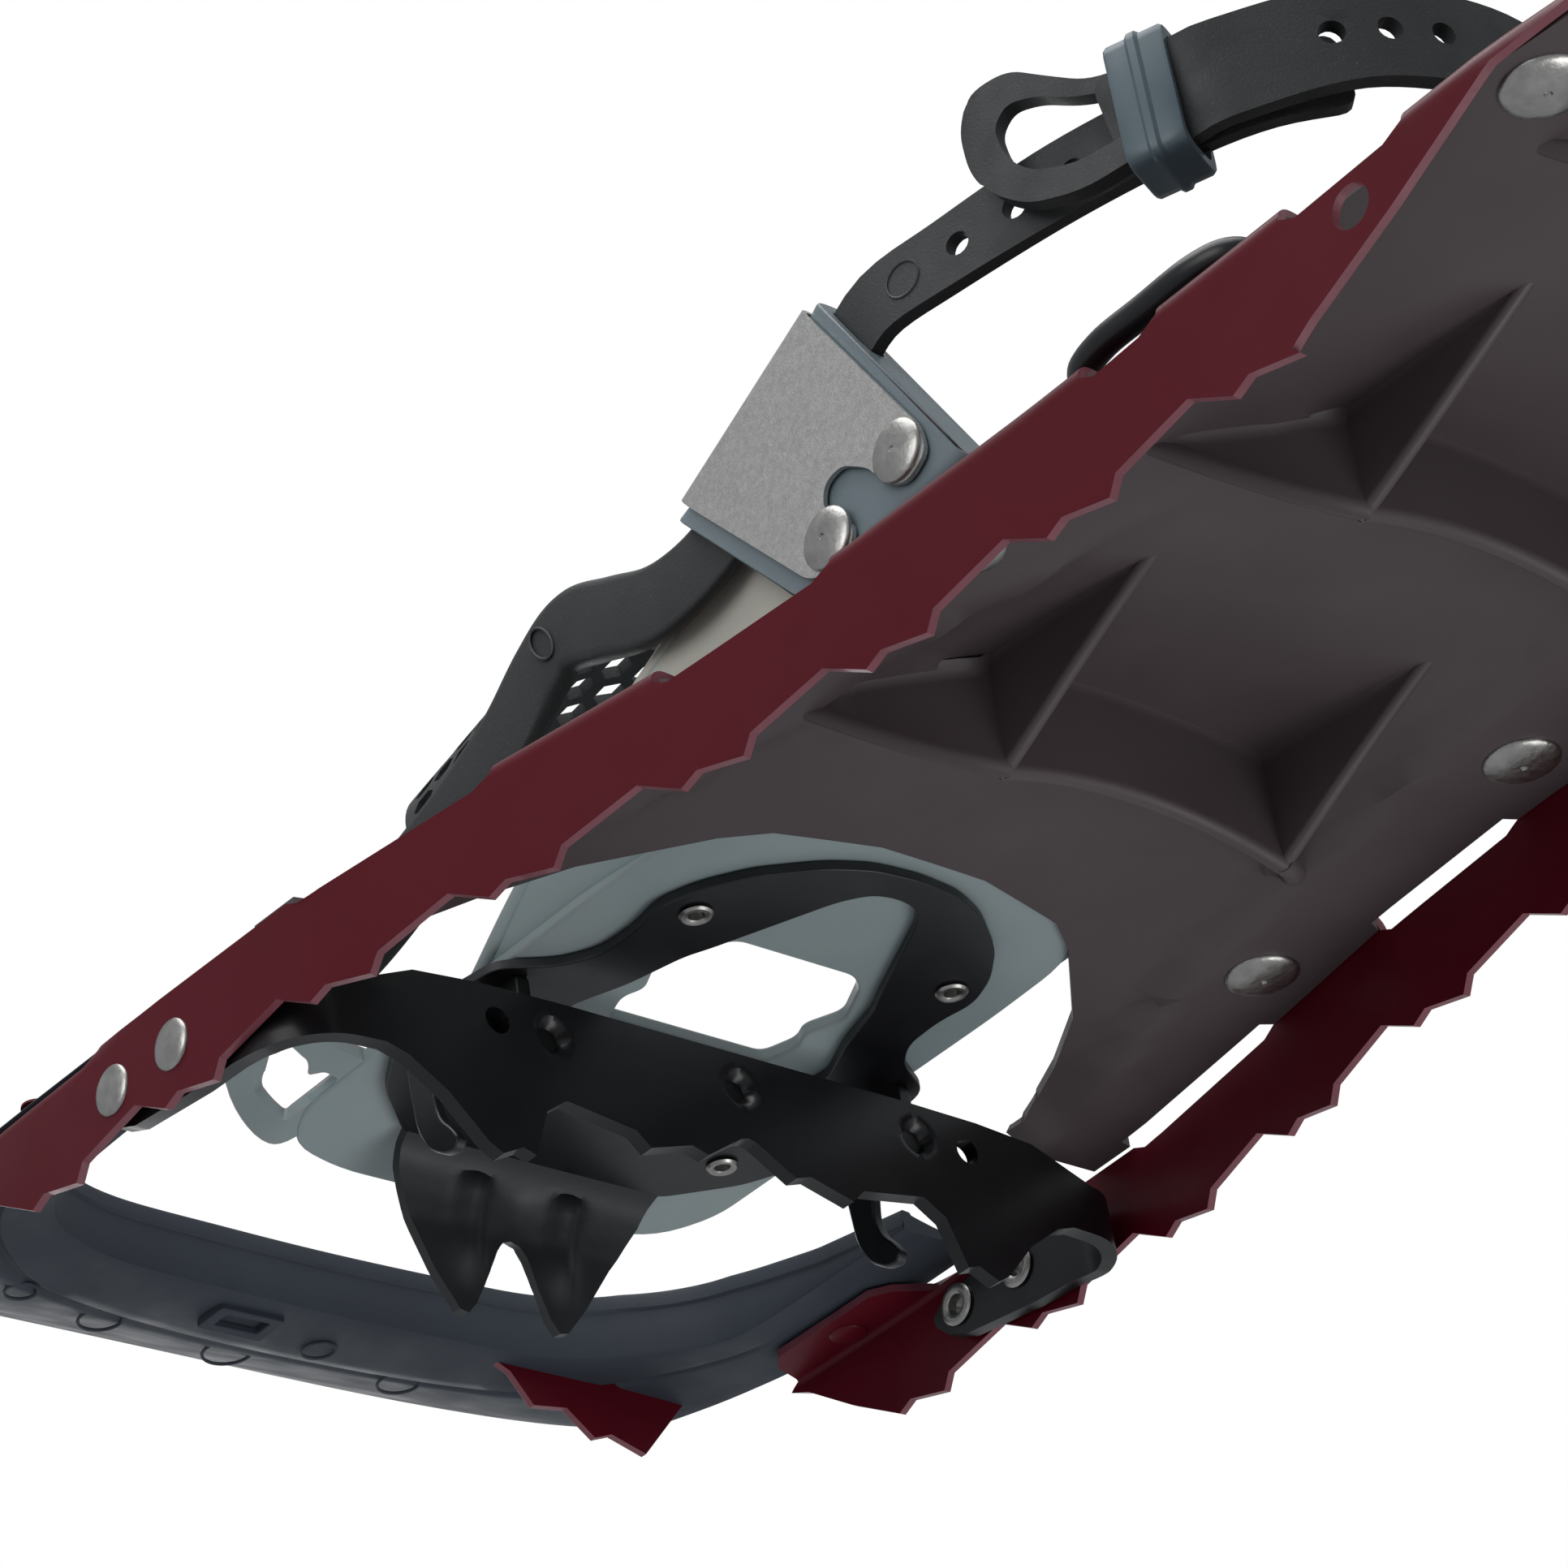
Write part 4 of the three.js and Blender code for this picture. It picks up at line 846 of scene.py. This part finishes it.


def footbed():
    outline = mirror_half([(0, -79), (30, -79), (43, -75), (49, -64), (49, -30), (47, -10), (47, 20),
                           (46, 40), (40, 52), (20, 57), (0, 57)])
    base = sheet(rounded(outline, 6), lambda x, y: (x, y, FOOTBED_MIDDLE), FOOTBED_THICK,
                 [rounded(FOOTBED_HOLE, 2)] + [circle(x, y, 3.9) for x, y in PLATE_RIVETS], edge=0.8)
    pieces = [base]
    for side in (-1, 1):
        front = on_side(WING_FRONT, side)
        rear = on_side(WING_REAR, side)
        wing = rounded(rectangle(0, 0, WING_LENGTH, WING_WIDTH), 9, 6)
        pieces.append(sheet(wing, skin_place(front, rear, WING_LENGTH, WING_WIDTH), 2.4,
                            cuts_u=span(4, WING_LENGTH, 4), cuts_v=span(5, WING_WIDTH, 5), edge=0.7))
        edge = [Vector(p) for p in smooth(front, 8)]
        pieces.append(tube([edge[0], *edge[2:-3]], 1.7))
        # Faces above that height take the second material: the painted back-light glow of the thin wings.
        for wing_part in pieces[-2:]:
            tint(wing_part, PAINTED_BACKLIGHT_FROM)
    flap = rounded(rectangle(0, 0, FLAP_LENGTH, FLAP_WIDTH), 6, 5)
    opening = rounded([(9, 6), (22, 6), (27, 12), (27, 20), (19, 20), (16, 17), (14, 20), (9, 20)], 1.5)
    front = [(44, -77, 28.6), (50, -76, 29.2), (56, -73.5, 33), (60.5, -70, 40.5)]
    rear = [(44, -44, 28.6), (50, -44.5, 29.2), (56, -47, 33), (60.5, -51, 40.5)]
    pieces.append(sheet(flap, skin_place(front, rear, FLAP_LENGTH, FLAP_WIDTH), 2.8, [opening],
                        cuts_u=span(3, FLAP_LENGTH, 3), cuts_v=span(4, FLAP_WIDTH, 4), edge=0.8))
    join("footbed_tpu", pieces, "binding", ["footbed"], [CLEAR_TPU, PAINTED_BACKLIGHT_TPU])


# ---- strap guides
def strap_line(y):
    """Height of the strap's middle line inside the guides."""
    return 58.6 + (y - 72) * 0.412


GUIDE_TOP = [Vector((0, 72, 68.3)), Vector((0, 113, 87))]
GUIDE_FOOT = [Vector((0, 98, 35.5)), Vector((0, 139.5, 38))]
GUIDE_RIVETS = [[126.5, 46.5], [108, 41]]
GUIDE_STEPS = 14
FACE_X, FACE_BEND, FACE_FOLD = 64.55, 2.2, -1.6


def strap_guide(label, side):
    def ring(t, low, high, x0, x1, corner):
        top, foot = GUIDE_TOP[0].lerp(GUIDE_TOP[1], t), GUIDE_FOOT[0].lerp(GUIDE_FOOT[1], t)
        down = foot - top
        long = down.length
        half = (high - low) * long / 2
        middle = top + down * (low + high) / 2
        return [middle + down.normalized() * q + Vector((((x0 + x1) / 2 + p) * side, 0, 0))
                for p, q in rounded_box((x1 - x0) / 2, half, corner, 5)]

    loops = []
    for i in range(GUIDE_STEPS + 1):
        t = i / GUIDE_STEPS
        lip = 0.5 * (math.exp(-(t / 0.05) ** 2) + math.exp(-((1 - t) / 0.05) ** 2))
        loops.append(ring(t, -0.008 * lip, 1, 55.9 - 0.1 * lip, 63.5 + 0.5 * lip, 3))
    for i in range(GUIDE_STEPS + 1):
        t = 1 - i / GUIDE_STEPS
        loops.append(ring(t, 0.044 + 0.018 * t, 0.402 - 0.08 * t, 57.9, 61.7, 1.6))
    sleeve = loft(loops, closed=True)
    bevel(sleeve, 0.5, 2, 50)
    sleeve.data.materials.append(None)
    settle(sleeve)
    join(f"strap_guide_{label}_tpu", [sleeve], "binding", [f"strap_guide_{label}"], [GUIDE_TPU])

    ahead = (GUIDE_TOP[1] - GUIDE_TOP[0]).normalized()
    up = Vector((0, -ahead.z, ahead.y))

    def place(a, d):
        base = GUIDE_TOP[0] + ahead * a
        past = d - FACE_FOLD
        if past <= 0:
            return base + up * d + Vector((FACE_X * side, 0, 0))
        angle = min(past / FACE_BEND, math.pi / 2)
        rest = max(0, past - FACE_BEND * math.pi / 2)
        x = FACE_X - FACE_BEND * (1 - math.cos(angle)) - rest
        rise = FACE_FOLD + FACE_BEND * math.sin(angle)
        return base + up * rise + Vector((x * side, 0, 0))

    outline = [
        (3, 6), (42, 6), (42.6, -2), (45.4, -34), (46.2, -43), (44.4, -48.4), (38.6, -48.8), (35.4, -45),
        (34.6, -38), (31, -32), (26.8, -31), (24, -34), (24.6, -38.6), (26.6, -43), (23.6, -46),
        (18.4, -45.6), (14, -41), (3.8, -2),
    ]
    holes = []
    for y, z in GUIDE_RIVETS:
        reach = Vector((0, y, z)) - GUIDE_TOP[0]
        holes.append(circle(reach.dot(ahead), reach.dot(up), SMALL_HOLE))
    plate = sheet(rounded(outline, 2.2), place, 0.9, holes,
                  cuts_v=[FACE_FOLD, -0.9, -0.2, 0.5, 1.2, 1.86], edge=0.2)
    join(f"guide_plate_{label}_steel", [plate], "binding", [f"guide_plate_{label}"],
         [STAINLESS])
    for i, (y, z) in enumerate(GUIDE_RIVETS):
        rivet(f"guide_rivet_{label}_{i + 1}", ((FACE_X + 0.65) * side, y, z), (-side, 0, 0),
              5.6, 1.8, 14.2, "binding", dimple=0.35)


# ---- toe cover
COVER_LENGTH, COVER_WIDTH = 138, 48
COVER_HALF = 55.2
COVER_FOOT, COVER_RISE = 62.6, 25
HEX_ROWS, HEX_COLUMNS, HEX_PITCH = 6, 20, 7


def toe_cover():
    def place(u, v):
        angle = math.pi * min(1, max(0, u / COVER_LENGTH))
        swing = math.cos(angle)
        lift = math.sin(angle)
        x = COVER_HALF * math.copysign(abs(swing) ** 0.7, swing)
        z = COVER_FOOT + COVER_RISE * lift ** 0.75
        front, rear = -14 - 14 * lift, 26 - 6 * lift
        share = v / COVER_WIDTH
        return (x, front + (rear - front) * share, z - (14 - 8 * lift) * (1 - share))

    hexes = []
    for row in range(HEX_ROWS):
        for column in range(HEX_COLUMNS):
            u = 6 + HEX_PITCH * column + (HEX_PITCH / 2 if row % 2 else 0)
            v = 6.5 + HEX_PITCH * row
            if 5 < u < COVER_LENGTH - 5:
                hexes.append([(u + 2.7 * math.cos(k * math.pi / 3 + math.pi / 6),
                               v + 3.4 * math.sin(k * math.pi / 3 + math.pi / 6)) for k in range(6)])
    shell = sheet(rounded(rectangle(0, 0, COVER_LENGTH, COVER_WIDTH), 4, 5), place, 2.4, hexes,
                  cuts_u=span(2, COVER_LENGTH, 3), cuts_v=span(6, COVER_WIDTH, 8), edge=0.5)
    pieces = [shell]
    for side in (-1, 1):
        path = [(57, -47, 41.5), (56, -30, 45), (56, -14, 49.5), (56, 0, 54), (56, 14, 60), (56, 25, 67.5),
                (56.5, 34, 70.5), (58, 46, 65.5), (59.2, 57, 60.5), (STRAP_X, 67, 59),
                (STRAP_X, 77, strap_line(77)), (STRAP_X, 88, strap_line(88))]
        across = [(0, -0.35, 0.94)] * 4 + [(0, -0.5, 0.86)] * 2
        across += [(0, 0, 1), (0, 0.45, 0.9), (0, 0.2, 0.98), (0, -0.25, 0.97)] + [(0, -0.38, 0.92)] * 2
        pieces.append(strap_body(on_side(path, side), across, lambda t: 17 - 3 * t,
                                 lambda t: 4.6 - 1.8 * soft_step(t, 0.6, 0.78)))
        oval = [Vector((58.7 * side, 29 + 1.9 * math.cos(a) - 2.2 * math.sin(a),
                        70.5 + 1.2 * math.cos(a) + 3.6 * math.sin(a))) for a in angles(24)]
        pieces.append(tube(oval, 0.35, 6, closed=True))
    join("toe_cover_rubber", pieces, "binding", ["toe_cover"], [STRAP_RUBBER])


# ---- heel straps
STRAP_HOLE = 2.2
INNER_PITCH, HEEL_PITCH = 11.5, 9.6
HEEL_HALF = 9


def inner_strap(label, side):
    points = [(STRAP_X, y, strap_line(y)) for y in (90, 100, 114, 124)]
    points += [(57.6, 138, 80.8), (52.2, 160, 82.6), (46, 180, 83), (38, 193, 84.4), (27, 202, 86)]
    tilted = (0, -0.38, 0.92)
    across = [tilted] * 4 + [(0, -0.15, 0.99)] + [(0.1 * side, 0, 1)] * 4
    place, track = band_place(on_side(points, side), across)
    first = track.nearest(1, 141)
    holes = [circle(first + INNER_PITCH * i, 0, STRAP_HOLE, 16) for i in range(4)]
    strap = sheet(rounded(rectangle(0, -7, track.length, 7), 3), place, 2.6, holes,
                  cuts_u=span(3, track.length, 3), cuts_v=[-3.5, 0, 3.5], edge=0.55)
    centre = track.nearest(1, 130)
    mark = [place(centre + 3.4 * math.cos(a), 3.4 * math.sin(a)) + Vector((1.3 * side, 0, 0))
            for a in angles(24)]
    join(f"perforated_strap_{label}_rubber", [strap, tube(mark, 0.3, 6, closed=True)], "binding",
         [f"perforated_strap_{label}"], [STRAP_RUBBER])


def heel_strap():
    points = [(53, 174, 83), (49.5, 184, 84), (45, 193, 85.4), (28, 209, 88), (0, 216, 89), (-28, 209, 88),
              (-45, 193, 85.4), (-52.5, 176, 83.2), (-56.5, 162, 82.5)]
    place, track = band_place(points, [(x * 0.004, 0, 1) for x, _, _ in points])
    mid = track.nearest(0, 34)
    holes = [circle(mid + HEEL_PITCH * i, 0.5, STRAP_HOLE, 16) for i in range(3)]
    end = track.length
    outline = rounded([(0, -HEEL_HALF), (end - 5, -HEEL_HALF), (end, -4), (end, 4), (end - 5, HEEL_HALF),
                       (0, HEEL_HALF)], 3)
    strap = sheet(outline, place, 3, holes, cuts_u=span(3, end, 3), cuts_v=[-5, 0, 5], edge=0.7)
    ring = rounded([(184, 92), (173.5, 92.8), (166, 98.4), (160, 103.2), (153, 102.6), (149.6, 97), (150, 88),
                    (154, 80.5), (159, 76), (168, 73.4), (184, 75)], 5, 6)
    gap = rounded([(178, 88.4), (170, 91.4), (163.5, 95.6), (158.6, 96.8), (155.8, 93.5), (156.6, 87),
                   (160.5, 81.8), (168, 79), (178, 79.6)], 3, 5)
    loop = sheet(ring, lambda y, z: (60 - 0.3 * max(0, y - 153), y, z), 3, [gap], cuts_u=span(152, 184, 3),
                 edge=0.9)
    join("heel_strap_rubber", [strap, loop], "binding", ["heel_strap"], [STRAP_RUBBER])


KEEPER_MIDDLE = Vector((49, 181, 83.9))
KEEPER_TURN = Matrix.Rotation(0.36, 3, "Z")
KEEPER_RINGS = [  # half width, half height, place along the strap
    (6.1, 12.2, -5.2), (6.4, 12.5, -4.6), (6.4, 12.5, -1.2), (6.9, 12.9, -0.6), (6.9, 12.9, 0.6),
    (6.4, 12.5, 1.2), (6.4, 12.5, 4.6), (6.1, 12.2, 5.2), (4.8, 10.7, 5.2), (4.8, 10.7, -5.2),
]


def strap_keeper():
    loops = [[KEEPER_MIDDLE + KEEPER_TURN @ Vector((p, at, q)) for p, q in rounded_box(a, b, 2.6)]
             for a, b, at in KEEPER_RINGS]
    join("strap_keeper_tpu", [loft(loops, closed=True)], "keeper", ["strap_keeper"],
         [KEEPER_TPU])


# ---- heel lift
BAIL_Y, BAIL_Z = 204, 32.6  # the wire's hinge line


def heel_lift():
    half = [(44, BAIL_Y), (52, BAIL_Y), (60, BAIL_Y), (67.2, 203), (69.6, 197), (69.6, 186), (69.4, 176),
            (66.5, 168.8), (58, 166.4), (30, 166), (0, 166)]
    path = smooth([(x, y, BAIL_Z) for x, y in mirror_half(half)], 7)
    join("heel_lift_wire", [tube(path, 2.5, 16)], "heel_lift", ["heel_lift_bail"],
         [BLACK_STEEL])
    for label, side in SIDES:
        foot = sheet(rounded(rectangle(47, 193, 56, 215), 2.5), lambda x, y: (x * side, y, 24.6), 1.6,
                     edge=0.4)
        outline = [(199.5, 24.4), (208.5, 24.4), (208.9, BAIL_Z), (206.4, 36.8), (201.6, 36.8),
                   (199.1, BAIL_Z)]
        riser = sheet(outline, lambda y, z: (51.5 * side, y, z), 8.8, [circle(BAIL_Y, BAIL_Z, 2.9, 24)],
                      edge=0.6)
        join(f"bail_clip_{label}_steel", [foot, riser], "frame", [f"bail_clip_{label}"],
             [BLACK_STEEL])


# ---- toe bow
BOW_HOLE = [[79, -44], [79, -60], [79, -78], [78.5, -90], [76.5, -101], [71, -111], [62, -118.5],
            [48, -122.8], [24, -124], [0, -124.5]]
BOW_OUTER = [[99, -44], [99.4, -60], [99.8, -76], [100, -92], [100, -108], [97, -128], [89, -148],
             [72, -170], [42, -192], [0, -200]]
BOW_STEPS = 150
BOW_LOW, BOW_TOE_LOW = 21.6, 25  # height of the underside along the rails and at the toe
# x, y and radius of the rings moulded under the bow
BOW_MARKS = [(-36, -150, 4.4), (34, -152, 4.4), (58, -143, 3.2), (-8, -139, 3.4), (0, -158, 5)]
BOSS_X, BOSS_Y = 14, -133.5
BOW_TOP = [  # [y, height of the inner wall's top]
    [-123, 39], [-115, 39], [-94, 35.5], [-69, 29.8], [-38, 25.2],
]


def toe_lift(y):
    """How far the toe has turned up."""
    return 30 * max(0, (-138 - y) / 62) ** 1.3


def toe_bow():
    def curve(half):
        return curve_rows([(x, y, 0) for x, y in mirror_half(half)], 10)

    hole, outer = curve(BOW_HOLE), curve(BOW_OUTER)
    marks = np.linspace(0, 1, len(hole))
    loops = []
    for i in range(BOW_STEPS + 1):
        t = i / BOW_STEPS
        a, b = read(hole, marks, t), read(outer, marks, t)
        across = (b - a).length
        bottom = BOW_LOW + (BOW_TOE_LOW - BOW_LOW) * soft_step(-a.y, 90, 120)
        tall = along(BOW_TOP, a.y) - bottom
        edge = 0.8 + 3.7 * soft_step(-b.y, 100, 140)
        deep = soft_step(-a.y, 80, 118)

        def top_at(share):
            return edge + (tall - edge) * (1 - share) ** 1.6

        def point(reach, depth):
            at = a.lerp(b, reach / across)
            return Vector((at.x, at.y, bottom + toe_lift(at.y) + depth))

        # From the inner foot, under the bow past its groove, round the outer edge and back over the top.
        ring = [(0, 0.8), (0.25, 0.15), (0.9, 0), (3.4, 0), (across * 0.26, 0), (across * 0.32, 0.1),
                (across * 0.345, 1.3 * deep), (across * 0.375, 1.5 * deep), (across * 0.4, 0.6 * deep),
                (across * 0.43, 0.4 * deep), (across * 0.7, 0.3 * deep), (across - 4, 0.1), (across - 1, 0),
                (across - 0.2, 0.3), (across, edge * 0.5), (across - 0.2, edge * 0.9),
                (across - 1, edge + 0.1)]
        ring += [(across * f, top_at(f)) for f in (0.85, 0.7, 0.55, 0.4, 0.25, 0.14)]
        ring += [(2.4, tall - 0.2), (0.6, tall), (0.1, tall - 0.3), (-0.2, tall - 1), (-0.2, tall - 3.4),
                 (0.3, tall - 4), (0.3, tall * 0.5)]
        loops.append([point(reach, depth) for reach, depth in ring])
    pieces = [loft(loops)]
    for x, y, radius in BOW_MARKS:
        level = BOW_TOE_LOW + toe_lift(y) + 0.2
        mark = [(x + radius * math.cos(a), y + radius * math.sin(a), level) for a in angles(32)]
        pieces.append(tube(mark, 0.35, 6, closed=True))
    boss = rounded(rectangle(BOSS_X - 7.5, BOSS_Y - 5, BOSS_X + 7.5, BOSS_Y + 4), 1)
    pocket = rounded(rectangle(BOSS_X - 5, BOSS_Y - 2.6, BOSS_X + 5, BOSS_Y + 2.2), 0.6)
    pieces.append(sheet(boss, lambda x, y: (x, y, 24.7), 1.6, [pocket], edge=0.3))
    join("toe_bow_moulding", pieces, "frame", ["toe_bow"], [TOE_PLASTIC])


for label, side in SIDES:
    rail(label, side)
toe_rail()
crossbar()
deck()
frame_rivets()
crampon_plate()
footbed()
toe_cover()
heel_strap()
strap_keeper()
heel_lift()
toe_bow()
for label, side in SIDES:
    pivots(label, side)
    strap_guide(label, side)
    inner_strap(label, side)


# ---- camera and stage
CAMERA_PLACE = (0.5507, 0.4986, -0.4067)


def set_camera():
    right = Vector((-0.7529, 0.6417, -0.1461)).normalized()
    forward = Vector((-0.608, -0.5932, 0.5277))
    forward = (forward - right * forward.dot(right)).normalized()
    up = right.cross(forward)
    data = bpy.data.cameras.new("camera")
    data.lens = 116.87
    data.sensor_width = 36
    data.shift_x = -0.0442
    data.shift_y = -0.0113
    data.clip_start = 0.01
    camera = add_object("camera", data)
    turn = Matrix((right, up, -forward)).transposed().to_4x4()
    camera.matrix_world = Matrix.Translation(CAMERA_PLACE) @ turn
    bpy.context.scene.camera = camera


def lamp(name, place, aim, size, power):
    data = bpy.data.lights.new(name, "AREA")
    data.shape = "RECTANGLE"
    data.size, data.size_y = size
    data.energy = power
    panel = add_object(name, data)
    panel.location = place
    panel.rotation_euler = (Vector(aim) - Vector(place)).to_track_quat("-Z", "Y").to_euler()


def set_stage():
    scene = bpy.context.scene
    scene.view_settings.view_transform = "Standard"
    scene.view_settings.look = "None"
    world = bpy.data.worlds.new("studio")
    scene.world = world
    tree = empty_tree(world)
    path = node(tree, "LightPath")
    seen = node(tree, "Background", Color=(1, 1, 1, 1), Strength=1.0)
    glow = node(tree, "Background", Color=(0.93, 0.96, 1, 1), Strength=0.42)
    node(tree, "OutputWorld", Surface=mixed(tree, path.outputs["Is Camera Ray"], glow, seen))
    lamp("top_light", (0.3, 0.1, 1.4), (0, 0, 0), (1.4, 1.4), 16)
    lamp("side_light", (1.3, 0.25, 0.25), (0, 0, 0.02), (0.9, 0.9), 6)
    lamp("low_light", (-0.35, 0.7, -1.1), (0, 0, 0), (0.8, 0.8), 6)
    lamp("toe_light", (-0.5, -1.3, 0.35), (0, 0, 0.05), (0.8, 0.8), 3)


def set_floor():
    # Seen from above it is a plain pale floor; it lets light and the view from below through.
    mesh = bpy.data.meshes.new("floor")
    mesh.from_pydata([(x, y, 0) for x, y in rectangle(-3, -3, 3, 3)], [], [(0, 1, 2, 3)])
    floor = add_object("floor", mesh)
    floor.location.z = -0.0005
    finish = bpy.data.materials.new("floor")
    tree = empty_tree(finish)
    clear = node(tree, "BsdfTransparent")
    pale = node(tree, "BsdfDiffuse", Color=(0.86, 0.86, 0.85, 1))
    path = node(tree, "LightPath")
    face = node(tree, "NewGeometry")
    both = node(tree, "Math")
    both.operation = "SUBTRACT"
    both.use_clamp = True
    tree.links.new(path.outputs["Is Camera Ray"], both.inputs[0])
    tree.links.new(face.outputs["Backfacing"], both.inputs[1])
    node(tree, "OutputMaterial", Surface=mixed(tree, both.outputs[0], clear, pale))
    mesh.materials.append(finish)


set_camera()
set_stage()
set_floor()
